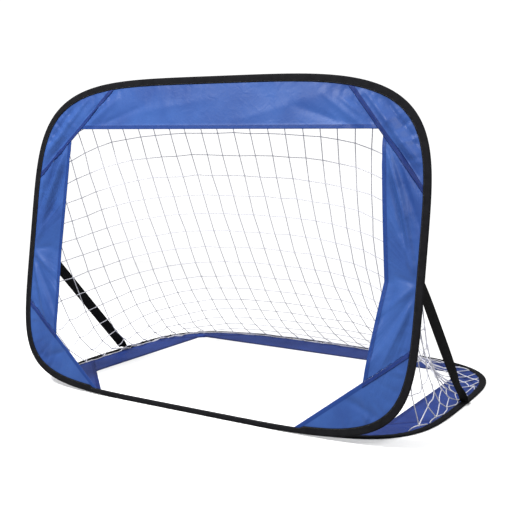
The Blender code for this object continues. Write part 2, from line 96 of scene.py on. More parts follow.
def new_finish(name, colour, roughness, **sockets):
    """A Principled finish, with its tree and its shader's inputs for the nodes that a piece adds."""
    finish = bpy.data.materials.new(name)
    finish.use_nodes = True
    inputs = finish.node_tree.nodes["Principled BSDF"].inputs
    sockets.update(Base_Color=(*colour, 1.0), Roughness=roughness)
    for socket, value in sockets.items():
        inputs[socket.replace("_", " ")].default_value = value
    return finish, finish.node_tree, inputs


def add_node(tree, kind, inputs, output=0, **settings):
    """One output of a new node, which has its settings, and values or links from other sockets as inputs."""
    node = tree.nodes.new(kind)
    for setting, value in settings.items():
        setattr(node, setting, value)
    for socket, value in inputs.items():
        if isinstance(value, bpy.types.NodeSocket):
            tree.links.new(value, node.inputs[socket])
        else:
            node.inputs[socket].default_value = value
    return node.outputs[output]


def calc(tree, operation, *values):
    """Result of a Math node on values or sockets."""
    return add_node(tree, "ShaderNodeMath", dict(enumerate(values)), operation=operation)


def object_place(tree):
    """Place on the piece itself."""
    return add_node(tree, "ShaderNodeTexCoord", {}, "Object")


def noise(tree, place, scale, **inputs):
    """Cloudy noise between 0 and 1."""
    return add_node(tree, "ShaderNodeTexNoise", {"Vector": place, "Scale": scale, **inputs})


def tint(tree, inputs, factor, dark, light):
    """Base colour that runs from a dark to a light tone with a factor."""
    colour = add_node(tree, "ShaderNodeValToRGB", {"Fac": factor})
    for element, tone in zip(colour.node.color_ramp.elements, (dark, light)):
        element.color = (*tone, 1.0)
    tree.links.new(colour, inputs["Base Color"])
    return colour


def emboss(tree, inputs, *layers):
    """Bumps on each other, each from a height between 0 and 1 with its real depth in metres."""
    under = {}
    for height, depth in layers:
        under = {"Normal": add_node(tree, "ShaderNodeBump", {"Height": height, "Distance": depth, **under})}
    tree.links.new(under["Normal"], inputs["Normal"])


def metal_finish(name, dark, light, roughness, grain, depth):
    """Metal with fine drawing lines and faint stains."""
    finish, tree, inputs = new_finish(name, light, roughness, Metallic=1.0)
    drawn = add_node(tree, "ShaderNodeMapping", {"Vector": object_place(tree), "Scale": (0.2, 1.0, 1.0)})
    lines = noise(tree, drawn, grain, Detail=4.0)
    tint(tree, inputs, lines, dark, light)
    emboss(tree, inputs, (lines, depth))
    return finish


steel = metal_finish("spring_steel", (0.20, 0.21, 0.23), (0.50, 0.51, 0.53), 0.32, 900.0, 0.00002)
crimp = metal_finish("ferrule_metal", (0.42, 0.42, 0.43), (0.68, 0.69, 0.70), 0.38, 700.0, 0.00003)
for hoop_name in ("front", "base"):
    for part, finish in (("spring_wire", steel), ("wire_ferrule", crimp)):
        for material_slot in frame["nodes"][f"{hoop_name}_{part}"].material_slots:
            material_slot.material = finish


# ---------------------------------------------------------------- hoop sleeves
# Black ribbed tape folded lengthwise round each loop of wire and sewn shut along
# its inner edge, where it also holds the fabric. It is narrow along the goal line.

CLEARANCE = 0.0003  # between pieces that touch
TAPE_THICKNESS = 0.0005
SLEEVE_WIDTH = 0.0195
GOAL_LINE_WIDTH = 0.0140
SLEEVE_STEP = 0.014  # over which it narrows
SLEEVE_HALF_HEIGHT = 0.0030  # round the wire
SLEEVE_LIP = 0.0014  # half the height of its inner edge, over the hem
SLEEVE_SHOULDER = 0.0043  # where the round outer edge ends
SLEEVE_FLANK = ((1.0, SLEEVE_LIP), (0.66, 0.0018), (0.33, 0.0024))
SLEEVE_WAVES = (0.019, 0.031, 0.052)
SLEEVE_GATHER = (0.0003, 0.0009)  # of its inner edge, on a straight run and added in the tightest bend
SLEEVE_NOSE_STEPS = 9
HOOP_STEPS = 900
ARC_STEPS = 4000
NEAREST_STRIDE = 3  # marks of the outline between two that are looked at
FRONT_TILT = radians(90 - 8.3)  # the upright hoop leans back
HINGE = Vector(frame["joints"][0]["pos_m"])


def ease(value):
    """Smooth step from 0 to 1."""
    value = np.clip(value, 0.0, 1.0)
    return value * value * (3 - 2 * value)


class Hoop:
    """Outline of one hoop in its own plane: x to the right, y from the goal line to its far side."""

    def __init__(self, name, powers, tilt, origin, start, wire_rise, step_x):
        self.name, self.tilt, self.origin, self.start = name, tilt, origin, start
        self.wire_rise, self.step_x = wire_rise, step_x
        low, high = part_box(f"{name}_sleeve")
        self.half_width = (high.x - low.x) / 2
        self.length = (high.z - low.z) / sin(tilt) if tilt else high.y - low.y
        turn = np.linspace(-pi / 2, 1.5 * pi, ARC_STEPS + 1)
        across, along = np.cos(turn), np.sin(turn)
        share = 2 / np.where(along > 0, powers[1], powers[0])
        x = np.sign(across) * np.abs(across) ** share * self.half_width
        y = (np.sign(along) * np.abs(along) ** share + 1) * self.length / 2 + start
        walked = np.concatenate([[0.0], np.cumsum(np.hypot(np.diff(x), np.diff(y)))])
        self.girth = walked[-1]
        self.marks = np.linspace(0.0, self.girth, HOOP_STEPS, endpoint=False)
        self.outline = np.stack([np.interp(self.marks, walked, x), np.interp(self.marks, walked, y)], axis=1)
        ahead = np.roll(self.outline, -2, axis=0) - np.roll(self.outline, 2, axis=0)
        ahead /= norm(ahead, axis=1)[:, None]
        self.inward = np.stack([-ahead[:, 1], ahead[:, 0]], axis=1)
        turning = norm(np.roll(self.inward, -4, axis=0) - np.roll(self.inward, 4, axis=0), axis=1)
        self.bend = turning / turning.max()

    def place(self, flat, height):
        """Points of the plane, at heights over it, in the goal."""
        height = np.broadcast_to(height, len(flat))
        sine, cosine = sin(self.tilt), cos(self.tilt)
        return np.stack([self.origin.x + flat[:, 0],
                         self.origin.y + flat[:, 1] * cosine - height * sine,
                         self.origin.z + flat[:, 1] * sine + height * cosine], axis=1)

    def flatten(self, places):
        """The reverse: points of the goal as points of the plane and heights over it."""
        x, y, z = (places - np.array(self.origin)).T
        sine, cosine = sin(self.tilt), cos(self.tilt)
        return np.stack([x, y * cosine + z * sine], axis=1), z * cosine - y * sine

    def inset(self, distance):
        """Outline moved into the hoop, by one distance or by one for each point."""
        return self.outline + self.inward * np.reshape(distance, (-1, 1))

    def sleeve_width(self):
        """Width of the sleeve at each point of the outline."""
        near = self.outline[:, 1] - self.start < self.length / 4
        wide = ease((np.abs(self.outline[:, 0]) - self.step_x) / SLEEVE_STEP)
        return np.where(near, GOAL_LINE_WIDTH + (SLEEVE_WIDTH - GOAL_LINE_WIDTH) * wide, SLEEVE_WIDTH)

    def nearest(self, flat):
        """Distance in from the outline, and the nearest mark, of points in the plane."""
        gaps = norm(flat[:, None, :] - self.outline[None, ::NEAREST_STRIDE, :], axis=2)
        return gaps.min(axis=1), gaps.argmin(axis=1) * NEAREST_STRIDE


front = Hoop("front", powers=(5.36, 4.31), tilt=FRONT_TILT, origin=HINGE, start=-HINGE.z, wire_rise=0.0,
             step_x=0.320)
base = Hoop("base", powers=(4.15, 3.67), tilt=0.0, origin=Vector((0.0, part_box("base_sleeve")[0].y, SLEEVE_LIP)),
            start=0.0, wire_rise=SLEEVE_HALF_HEIGHT - SLEEVE_LIP, step_x=0.305)


def make_piece(name, points, faces, finish, runs=None):
    """A smooth mesh piece; runs gives each face corner its place along and across the piece."""
    mesh = bpy.data.meshes.new(name)
    mesh.from_pydata(np.asarray(points, float).tolist(), [], faces)
    mesh.materials.append(finish)
    if runs is not None:
        layer = mesh.uv_layers.new(name="run")
        layer.data.foreach_set("uv", np.asarray(runs, np.float32).ravel())
    mesh.shade_smooth()
    return add_object(name, mesh)


def ribs(tree, pitch, direction):
    """Height of ribs of a pitch, one after another along the run (X) or across it (Y)."""
    run = add_node(tree, "ShaderNodeUVMap", {}, uv_map="run")
    return add_node(tree, "ShaderNodeTexWave", {"Vector": run, "Scale": pi / 10 / pitch}, "Fac",
                    bands_direction=direction, wave_profile="SIN")


def tape_finish(name, dark, light, along, across, depth):
    """Ribbed polyester: ribs one after another, finer yarns beside each other, and a faint grey painted sheen."""
    finish, tree, inputs = new_finish(name, light, 0.8, Specular_IOR_Level=0.07)
    weave = calc(tree, "ADD", ribs(tree, along, "X"), ribs(tree, across, "Y"))
    # painted sheen: faint grey patches over the black tape
    tint(tree, inputs, noise(tree, object_place(tree), 60.0, Detail=5.0), dark, light)
    emboss(tree, inputs, (weave, depth))
    return finish


def loft_faces(sections, count, closed):
    """Quads between closed sections of so many points each, as a ring or as a run with flat ends."""
    faces = []
    for section in range(sections if closed else sections - 1):
        first, second = section * count, (section + 1) % sections * count
        for index in range(count):
            after = (index + 1) % count
            faces.append((first + index, second + index, second + after, first + after))
    if not closed:
        faces.append(tuple(reversed(range(count))))
        faces.append(tuple(range((sections - 1) * count, sections * count)))
    return faces


def loft_runs(marks, section):
    """Run of each face corner: along by marks, one more than the sections' gaps, and across round a section."""
    around = np.concatenate([[0.0], np.cumsum(norm(np.diff(section, axis=0), axis=1))])
    around = np.append(around, around[-1] + norm(section[0] - section[-1]))
    runs = []
    for here, ahead in zip(marks[:-1], marks[1:]):
        for low, high in zip(around[:-1], around[1:]):
            runs += [(here, low), (ahead, low), (ahead, high), (here, high)]
    return runs


def tape_skin(layer):
    """Outer (0) or inner (1) skin of the folded tape: share of the flank, reach inward, height."""
    skin = layer * TAPE_THICKNESS
    upper = [(share, SLEEVE_SHOULDER, height - skin) for share, height in SLEEVE_FLANK]
    nose = []
    for turn in np.linspace(pi / 2, -pi / 2, SLEEVE_NOSE_STEPS):
        reach = SLEEVE_SHOULDER - (SLEEVE_SHOULDER - skin) * cos(turn)
        nose.append((0.0, reach, (SLEEVE_HALF_HEIGHT - skin) * sin(turn)))
    lower = [(share, reach, -height) for share, reach, height in reversed(upper)]
    return upper + nose + lower


def make_sleeve(hoop, finish, seed):
    """The sleeve as one closed body of folded tape, open along its inner edge and slightly gathered there."""
    phases = np.random.default_rng(seed).uniform(0.0, 2 * pi, (2, len(SLEEVE_WAVES)))
    width = hoop.sleeve_width()
    puckers = []
    for row in phases:
        gather = np.zeros(HOOP_STEPS)
        for wave, phase in zip(SLEEVE_WAVES, row):
            gather += np.sin(2 * pi * hoop.marks / hoop.girth * round(hoop.girth / wave) + phase)
        puckers.append((1 + gather / len(SLEEVE_WAVES)) / 2 * (SLEEVE_GATHER[0] + SLEEVE_GATHER[1] * hoop.bend))
    lower_play = 1.0 if hoop.tilt else 0.0
    rings = []
    for share, reach, height in tape_skin(0) + tape_skin(1)[::-1]:
        inward = reach + (width - reach) * share
        pucker = puckers[0] * share if height > 0 else -puckers[1] * share * lower_play
        rings.append(hoop.place(hoop.inset(inward), height + pucker + hoop.wire_rise * (1 - share)))
    points = np.stack(rings, axis=1)
    faces = loft_faces(HOOP_STEPS, len(rings), True)
    runs = loft_runs(np.append(hoop.marks, hoop.girth), points[0])
    piece = make_piece(f"{hoop.name}_sleeve_tape", points.reshape(-1, 3), faces, finish, runs)
    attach(piece, hoop.name)
    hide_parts(f"{hoop.name}_sleeve")


sleeve_tape = tape_finish("sleeve_tape", (0.003, 0.003, 0.004), (0.012, 0.012, 0.014), 0.0012, 0.0007, 0.00012)
make_sleeve(front, sleeve_tape, 11)
make_sleeve(base, sleeve_tape, 12)


# ---------------------------------------------------------------- fabric panels
# Satin nylon in seven cuts for each hoop: a far band, two side bands and four
# corners, whose free edges are turned over and hemmed. The straps pull the upright
# side bands out of shape, and soft folds run from there to the corners of the mouth.

PANEL_THICKNESS = 0.0007
HEM_THICKNESS = 0.0012
HEM_WIDTH = 0.010
HEM_STEP = 0.0012  # over which the hem thins to the plain cloth
HEM_SHOWS = 1.2  # cloth over this many times the plain thickness is turned over
CLOTH_STEP = 0.0050  # mesh of the cloth
PANEL_EDGE = 0.0046  # how far out the fabric reaches inside the sleeve
STRAP_HEIGHT = 0.371  # where a strap pulls, along the upright hoop from its fold
PULL_OUT = 0.024  # how far the hem is pulled outwards there
PULL_BACK = 0.021  # and backwards
PULL_SPAN = (0.138, STRAP_HEIGHT, 0.690)  # from where to where, up the hoop
PULL_KINK = 1.2  # how sharply the pull rises to its peak
PULL_DEPTH = 0.16  # in from the sleeve, over which it grows
PULL_GROWTH = 1.6  # by how much sooner it is full
PULL_INNERMOST = 0.30  # nearer to the middle nothing is pulled
FOLD_FAN = (0.45, 0.75)  # a fold's width at its start, and what is added to its end
FOLD_TAPER = 0.6
FOLD_SHARPNESS = 1.25
STRAIGHT_PUCKER = 0.15  # puckers on a straight run, against those in the tightest bend
SLEEVE_CALM_WIDTH = 0.010  # beside the sleeve, over which the folds die out
HEM_CALM = 0.35  # share of a fold that is left at the free edge
HEM_CALM_WIDTH = 0.03  # beside the free edge, over which they grow to their full height
HEM_TONE = (0.55, 0.72, 0.86)  # of the cloth's dark tone, where it is turned over
SEAM_RIPPLE = 0.0006  # of the cloth beside a corner seam
SEAM_RIPPLE_WAVE = (410.0, 330.0)
SEAM_RIPPLE_REACH = 0.012
SEAM_TUCK = 0.0016  # how far a corner seam draws the cloth in
SEAM_TUCK_PLACE = (0.004, 0.009)  # how far in from the seam that is, and its reach


class Rim:
    """The cloth of one hoop: where it is cut, and how it lies."""

    def __init__(self, hoop, side_band, far_band, gusset_reach, gusset_height, far_seams, folds, puckers):
        self.hoop, self.folds, self.puckers = hoop, np.array(folds), puckers
        self.mouth_x = hoop.half_width - side_band
        self.mouth_y = hoop.start + hoop.length - far_band
        self.lines = {"far": ((0.0, self.mouth_y), (0.0, 1.0))}
        run = gusset_reach - side_band
        slant = hypot(run, gusset_height)
        for side, name in ((-1, "left"), (1, "right")):
            edge = side * self.mouth_x
            self.lines[f"{name}_side"] = ((edge, hoop.start), (side, 0.0))
            corner_cut, steepness = far_seams[name]
            self.lines[f"{name}_far"] = ((edge - side * corner_cut, self.mouth_y),
                                         (side * sin(steepness), cos(steepness)))
            self.lines[f"{name}_near"] = ((edge, hoop.start + gusset_height),
                                          (side * gusset_height / slant, -run / slant))

    def beyond(self, flat, line):
        """How far points lie on the outer side of a line."""
        return measure(flat, self.lines[line])[1]

    def from_mouth(self, flat):
        """Distance of points out from the edge of the mouth."""
        return np.max([self.beyond(flat, line) for line in self.lines], axis=0)

    def fold_height(self, flat):
        """Height of the folds and puckers, which die out at the sleeve and lie lower along the hem."""
        depth, mark = self.hoop.nearest(flat)
        height = np.zeros(len(flat))
        for x0, y0, x1, y1, width, rise in self.folds / 1000:
            run, start = np.array([x1 - x0, y1 - y0]), np.array([x0, y0])
            length = float(np.hypot(*run))
            along = (flat - start) @ run / length ** 2
            across = (flat - start) @ np.array([-run[1], run[0]]) / length
            fan = width * (FOLD_FAN[0] + FOLD_FAN[1] * np.clip(along, 0, 1))
            taper = np.sin(pi * np.clip(along, 0, 1)) ** FOLD_TAPER
            height += rise * np.exp(-np.abs(across / fan) ** FOLD_SHARPNESS) * taper
        for wave, phase, rise, reach in self.puckers:
            ripple = np.sin(2 * pi * self.hoop.marks[mark] / wave + phase)
            near = np.exp(-np.maximum(depth - SLEEVE_WIDTH, 0.0) / reach)
            height += rise * ripple * near * (STRAIGHT_PUCKER + self.hoop.bend[mark])
        for side in ("left", "right"):
            for seam in ("far", "near"):
                gap = self.beyond(flat, f"{side}_{seam}")
                ripple = np.sin(flat @ np.array(SEAM_RIPPLE_WAVE))
                height += SEAM_RIPPLE * ripple * np.exp(-(gap / SEAM_RIPPLE_REACH) ** 2)
                height -= SEAM_TUCK * np.exp(-((gap + SEAM_TUCK_PLACE[0]) / SEAM_TUCK_PLACE[1]) ** 2)
        hem = HEM_CALM + (1 - HEM_CALM) * ease(self.from_mouth(flat) / HEM_CALM_WIDTH)
        return height * ease((depth - SLEEVE_WIDTH) / SLEEVE_CALM_WIDTH) * hem

    def drape(self, flat, lift):
        """Points of the cut cloth, at a lift over its middle, where they lie in the goal."""
        height = self.fold_height(flat)
        moved = flat.copy()
        if self.hoop.tilt:
            depth, _ = self.hoop.nearest(flat)
            share = np.clip(ease((depth - SLEEVE_WIDTH) / PULL_DEPTH) * PULL_GROWTH, 0.0, 1.0)
            share *= np.interp(flat[:, 1], PULL_SPAN, (0.0, 1.0, 0.0)) ** PULL_KINK
            share *= np.abs(flat[:, 0]) > PULL_INNERMOST
            moved[:, 0] += np.sign(flat[:, 0]) * PULL_OUT * share
            height = height - PULL_BACK * share
        else:
            height = np.maximum(height, 0.0)
        return self.hoop.place(moved, height + lift)


def measure(points, line):
    """How far points lie along a line, and how far out from it."""
    point, (dx, dy) = line
    offset = np.asarray(points) - np.array(point)
    return offset @ np.array([-dy, dx]), offset @ np.array([dx, dy])


def clip(polygon, point, direction):
    """Part of a convex polygon on the side of a line that a direction points to."""
    kept = []
    for index, here in enumerate(polygon):
        there = polygon[(index + 1) % len(polygon)]
        depth_here = float(np.dot(np.subtract(here, point), direction))
        depth_there = float(np.dot(np.subtract(there, point), direction))
        if depth_here >= 0:
            kept.append(tuple(here))
        if (depth_here > 0 > depth_there) or (depth_here < 0 < depth_there):
            share = depth_here / (depth_here - depth_there)
            kept.append(tuple(np.add(here, share * np.subtract(there, here))))
    return kept


def shifted(line, distance):
    """A line, as a point and a unit direction, moved along that direction."""
    point, direction = line
    return (point[0] + direction[0] * distance, point[1] + direction[1] * distance), direction


def turned(line):
    """The same line, facing the other way."""
    point, direction = line
    return point, (-direction[0], -direction[1])


def cloth_mesh(outline, line, marks):
    """Flat cloth of a convex outline, cut square to a line and at marks out from it, in small cells."""
    (x0, y0), (dx, dy) = line
    work = bmesh.new()
    work.faces.new([work.verts.new((x, y, 0.0)) for x, y in outline])
    along, out = measure(outline, line)
    cuts = [((dx, dy), mark) for mark in (*marks, *np.arange(marks[-1] + CLOTH_STEP, max(out), CLOTH_STEP))]
    cuts += [((-dy, dx), mark) for mark in np.arange(min(along) + CLOTH_STEP / 2, max(along), CLOTH_STEP)]
    for (nx, ny), mark in cuts:
        place = (x0 + nx * mark, y0 + ny * mark, 0.0)
        bmesh.ops.bisect_plane(work, geom=work.verts[:] + work.edges[:] + work.faces[:], dist=1e-5,
                               plane_co=place, plane_no=(nx, ny, 0.0))
    bmesh.ops.recalc_face_normals(work, faces=work.faces)
    if sum(face.normal.z for face in work.faces) < 0:
        bmesh.ops.reverse_faces(work, faces=work.faces)
    work.verts.index_update()
    flat = np.array([vert.co[:2] for vert in work.verts])
    faces = [[vert.index for vert in face.verts] for face in work.faces]
    rims = [(loop.vert.index, loop.link_loop_next.vert.index)
            for face in work.faces for loop in face.loops if loop.edge.is_boundary]
    area = sum(face.calc_area() for face in work.faces)
    work.free()
    return flat, faces, rims, area


def make_cloth(name, rim, outline, line, marks, thickness, lift, finish):
    """Cloth as one closed body that follows the folds, with its run squared up with its own free edge."""
    flat, faces, rims, area = cloth_mesh(outline, line, marks)
    along, out = measure(flat, line)
    thick = np.interp(out, *thickness)
    count = len(flat)
    points = np.concatenate([rim.drape(flat, lift + thick / 2), rim.drape(flat, lift - thick / 2)])
    under = [[index + count for index in reversed(face)] for face in faces]
    walls = [(a, a + count, b + count, b) for a, b in rims]
    everything = [*faces, *under, *walls]
    corners = np.concatenate([np.array(face) % count for face in everything])
    piece = make_piece(name, points, everything, finish, np.stack([along[corners], out[corners]], axis=1))
    layers = piece.data.attributes.new("hem", "FLOAT", "POINT")
    hem = np.tile(thick > PANEL_THICKNESS * HEM_SHOWS, 2) if len(marks) > 1 else np.zeros(2 * count)
    layers.data.foreach_set("value", hem.astype(np.float32))
    size = (max(along) - min(along), max(out) - min(out))
    return piece, size, area


FRONT_PULL = (0.600, 0.380)  # where a strap pulls, across and up
CREASE_DEPTH = 0.0060
CREASE_COUNT = 9.0  # in a turn of one radian round there
CREASE_RUN = (0.05, 0.16, 0.34)  # how far from there they start, are full and end
CLOTH_YARN = 0.0009
CLOTH_YARN_DEPTH = 0.00004
WRINKLE_DEPTH = 0.0007


def pull_creases(tree, place):
    """Height of fine creases that run up and down from where the straps pull the cloth."""
    x, _, z = add_node(tree, "ShaderNodeSeparateXYZ", {"Vector": place}).node.outputs
    inward = calc(tree, "SUBTRACT", FRONT_PULL[0], calc(tree, "ABSOLUTE", x))
    above = calc(tree, "SUBTRACT", z, FRONT_PULL[1])
    offset = add_node(tree, "ShaderNodeCombineXYZ", {"X": inward, "Y": above})
    away = add_node(tree, "ShaderNodeVectorMath", {0: offset}, "Value", operation="LENGTH")
    angle = calc(tree, "ARCTAN2", above, inward)
    turn = calc(tree, "MULTIPLY", angle, CREASE_COUNT)
    fan = add_node(tree, "ShaderNodeCombineXYZ", {"X": turn, "Y": away, "Z": x})
    height = noise(tree, fan, 1.0, Detail=3.0, Roughness=0.6)
    height = calc(tree, "MULTIPLY", height, calc(tree, "ABSOLUTE", calc(tree, "SINE", angle)))
    start, full, end = CREASE_RUN
    for near, far, before, after in ((start, full, 0.0, 1.0), (full, end, 1.0, 0.0)):
        share = add_node(tree, "ShaderNodeMapRange", {
            "Value": away, "From Min": near, "From Max": far, "To Min": before, "To Max": after}, clamp=True)
        height = calc(tree, "MULTIPLY", height, share)
    return height


def cloth_finish(name, dark, light, roughness, pulled):
    """Satin nylon: fine plain weave, small creases, painted light in broad patches, and a deeper tone where it is
    turned over.
    """
    finish, tree, inputs = new_finish(name, light, roughness, Specular_IOR_Level=0.18)
    place = object_place(tree)
    # painted light: broad lighter and darker patches, as where more or less light shines through the thin cloth
    colour = tint(tree, inputs, noise(tree, place, 9.0, Detail=3.0), dark, light)
    for element, share in zip(colour.node.color_ramp.elements, (0.3, 0.7)):
        element.position = share
    hem = add_node(tree, "ShaderNodeAttribute", {}, "Fac", attribute_name="hem")
    doubled = [share * part for share, part in zip(HEM_TONE, dark)]
    tone = add_node(tree, "ShaderNodeMix", {0: hem, 6: colour, 7: (*doubled, 1.0)}, 2, data_type="RGBA")
    tree.links.new(tone, inputs["Base Color"])
    weave = calc(tree, "MULTIPLY", ribs(tree, CLOTH_YARN, "X"), ribs(tree, CLOTH_YARN, "Y"))
    wrinkles = noise(tree, place, 38.0, Detail=4.0, Distortion=1.4)
    layers = [(weave, CLOTH_YARN_DEPTH), (wrinkles, WRINKLE_DEPTH)]
    if pulled:
        layers.append((pull_creases(tree, place), CREASE_DEPTH))
    emboss(tree, inputs, *layers)
    return finish


def side_folds(side):
    """Folds of one upright side band, in millimetres: from the strap and from the corners of the mouth."""
    strap = (590, STRAP_HEIGHT * 1000)
    folds = [
        (478, 690, 582, 390, 9, 12.5), (468, 670, 550, 420, 7, -9.5), (500, 655, 592, 460, 7, -8),
        (*strap, 545, 520, 7, -7), (505, 675, 588, 520, 6, 6), (*strap, 520, 480, 10, 6),
        (*strap, 500, 385, 8, -3.5), (*strap, 485, 300, 11, 5.5), (*strap, 480, 190, 12, -7),
        (*strap, 500, 150, 11, 7.5), (*strap, 550, 200, 10, -5), (470, 160, 570, 330, 12, 6),
        (468, 240, 520, 360, 10, -4), (330, 760, 520, 590, 8, 4.5), (400, 760, 545, 640, 8, -4.8),
        (450, 780, 570, 640, 9, 4), (460, 720, 540, 770, 10, 3.5), (440, 710, 300, 810, 12, 4),
        (430, 712, 220, 780, 12, -3.6), (400, 828, 556, 645, 6, 6), (432, 828, 576, 660, 6, -6),
        (380, 790, 455, 722, 5, -5.5), (345, 800, 440, 735, 6, 5), (488, 700, 572, 600, 5, -6),
        (505, 705, 578, 625, 5, 5), (420, 100, 520, 60, 14, -6), (470, 130, 500, 20, 14, 4.5),
    ]
    return [(side * x0, y0, side * x1, y1, width, rise) for x0, y0, x1, y1, width, rise in folds]


# Where each far corner's seam starts, in from the side of the mouth, and how steeply it runs.
FRONT_FAR_SEAMS = {"left": (0.033, radians(45.0)), "right": (0.013, radians(50.5))}
BASE_FAR_SEAMS = {"left": (0.021, radians(45.0)), "right": (0.021, radians(45.0))}

front_rim = Rim(front, side_band=0.128, far_band=0.136, gusset_reach=0.314, gusset_height=0.147,
                far_seams=FRONT_FAR_SEAMS, folds=[
    *side_folds(-1), *side_folds(1),
    (-360, 745, 20, 800, 20, 1.6), (60, 735, 330, 805, 22, 1.4),
    (-120, 730, -180, 835, 20, 1), (180, 735, 150, 835, 22, -1),
], puckers=[(0.021, 0.4, 0.0016, 0.018), (0.034, 1.9, 0.0020, 0.030), (0.110, 0.7, 0.0012, 0.045)])
base_rim = Rim(base, side_band=0.117, far_band=0.145, gusset_reach=0.295, gusset_height=0.180,
               far_seams=BASE_FAR_SEAMS, folds=[
    (-500, 742, -405, 748, 10, 7.5),
    (440, 700, 540, 760, 12, 2), (-440, 720, -500, 790, 12, 2.2),
    (475, 300, 540, 460, 16, 1.2), (-475, 260, -545, 470, 16, 1.2),
], puckers=[(0.024, 1.1, 0.0012, 0.016), (0.041, 0.3, 0.0012, 0.026), (0.125, 2.0, 0.0009, 0.040)])


def lie_flat(piece):
    """Give cloth of the upright hoop a mesh of its own."""
    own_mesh(piece)


def sew_in(cloth, hoop, node):
    """Attach a cut of cloth that lies on another piece of its hoop to that hoop, in place of its solid; its flat
    size and area go unused.
    """
    piece, size, area = cloth
    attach(piece, hoop.name)
    if hoop is front:
        lie_flat(piece)
    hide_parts(node)


PANEL_MARKS = (0.0018, HEM_WIDTH - 0.0024, HEM_WIDTH, HEM_WIDTH + HEM_STEP)
PANEL_PROFILE = ((HEM_WIDTH, HEM_WIDTH + HEM_STEP), (HEM_THICKNESS, PANEL_THICKNESS))
HALF_SEAM = CLEARANCE / 2
CORNERS = {"front": ("top", "bottom"), "base": ("rear", "goal_line")}

nylon = cloth_finish("panel_cloth", (0.021, 0.056, 0.212), (0.032, 0.086, 0.284), 0.42, True)
# painted shade: the floor hoop's cloth is a darker copy of the same nylon, to look shaded under the bright
# overhead light
shaded_floor_nylon = cloth_finish("floor_panel_cloth", (0.010, 0.027, 0.150), (0.018, 0.046, 0.220), 0.50, False)
hem_lines = []
for rim in (front_rim, base_rim):
    hoop = rim.hoop
    far, near = CORNERS[hoop.name]
    cut_edge = [tuple(point) for point in hoop.inset(PANEL_EDGE)[::4]]
    cuts = {f"{far}_band": ("far", ["left_far", "right_far"])}
    for side in ("left", "right"):
        cuts[f"{side}_band"] = (f"{side}_side", [f"{side}_far", f"{side}_near"])
        cuts[f"{far}_{side}_corner"] = (f"{side}_far", [])
        cuts[f"{near}_{side}_corner"] = (f"{side}_near", [])
    for part, (edge, cut_by) in cuts.items():
        line = rim.lines[edge] if cut_by else shifted(rim.lines[edge], HALF_SEAM)
        outline = clip(cut_edge, *line)
        for other in cut_by:
            outline = clip(outline, *shifted(turned(rim.lines[other]), HALF_SEAM))
        node = f"{hoop.name}_{part}"
        sew_in(make_cloth(f"{node}_panel", rim, outline, line, PANEL_MARKS, PANEL_PROFILE, 0.0,
                          nylon if hoop is front else shaded_floor_nylon),
               hoop, node)
        if cut_by:
            hem_lines.append((rim, line, outline))


# ---------------------------------------------------------------- seam tapes
# Strips of doubled cloth sewn over the corner seams: on the face of the upright
# hoop, and underneath the floor hoop, where the net doesn't lie.

SEAM_WIDTH = 0.0105
SEAM_THICKNESS = 0.0004
SEAM_LIFT = HEM_THICKNESS / 2 + CLEARANCE + SEAM_THICKNESS / 2
SEAM_ROWS = (0.0022, SEAM_WIDTH - 0.0022)  # where a tape is sewn, out from its edge

seam_nylon = cloth_finish("seam_cloth", (0.004, 0.016, 0.105), (0.007, 0.027, 0.150), 0.6, False)
seam_lines = []
for rim in (front_rim, base_rim):
    hoop = rim.hoop
    inside_sleeve = [tuple(point) for point in hoop.inset(SLEEVE_WIDTH + CLEARANCE)[::4]]
    for side in ("left", "right"):
        for seam, corner in zip(("far", "near"), CORNERS[hoop.name]):
            line = shifted(rim.lines[f"{side}_{seam}"], HALF_SEAM)
            outline = clip(clip(inside_sleeve, *line), *shifted(turned(line), -SEAM_WIDTH))
            if seam == "near":
                outline = clip(outline, *rim.lines[f"{side}_side"])
            node = f"{hoop.name}_{corner}_{side}"
            sew_in(make_cloth(f"{node}_seam_tape_cloth", rim, outline, line, SEAM_ROWS,
                              ((0.0, 1.0), (SEAM_THICKNESS, SEAM_THICKNESS)),
                              SEAM_LIFT if hoop is front else -SEAM_LIFT, seam_nylon),
                   hoop, f"{node}_seam_tape")
            seam_lines.append((rim, line, outline))


# ---------------------------------------------------------------- stitches
# Rows of thread, one thread for each stitch: along the sleeves' inner edges, in
# two rows down each seam tape, and along the hems of the mouth.

STITCH_LENGTH = 0.0027
STITCH_PITCH = 0.0036
THREAD = 0.0005
SEWN = 0.00005  # how deep a thread sinks into what it holds
STITCH_TURN = 0.12  # by which the threads lie askew
HEM_ROW = HEM_WIDTH - 0.0015  # out from the free edge
SLEEVE_ROW = 0.0022  # out from the sleeve's inner edge
HEM_ROW_MARGIN = SLEEVE_WIDTH * 0.2  # where rows stop, short of the ends of a hem or a tape
SEAM_ROW_MARGIN = 0.003
ROW_STEP = 0.004  # between points of a row
THREAD_LIFT = THREAD / 2 - SEWN


def new_tree(name, **sockets):
    """An empty Geometry Nodes tree with named inputs, and its input and output nodes."""
    tree = bpy.data.node_groups.new(name, "GeometryNodeTree")
    for socket, kind in {"Geometry": "Geometry", **sockets}.items():
        tree.interface.new_socket(socket, in_out="INPUT", socket_type=f"NodeSocket{kind}")
    tree.interface.new_socket("Geometry", in_out="OUTPUT", socket_type="NodeSocketGeometry")
    return tree, tree.nodes.new("NodeGroupInput").outputs, tree.nodes.new("NodeGroupOutput").inputs


def finish_tree(tree, geometry, finish, result):
    """Real, smooth faces of one finish at the end of a tree."""
    real = add_node(tree, "GeometryNodeRealizeInstances", {"Geometry": geometry})
    smooth = add_node(tree, "GeometryNodeSetShadeSmooth", {"Geometry": real})
    dressed = add_node(tree, "GeometryNodeSetMaterial", {"Geometry": smooth, "Material": finish})
    tree.links.new(dressed, result["Geometry"])


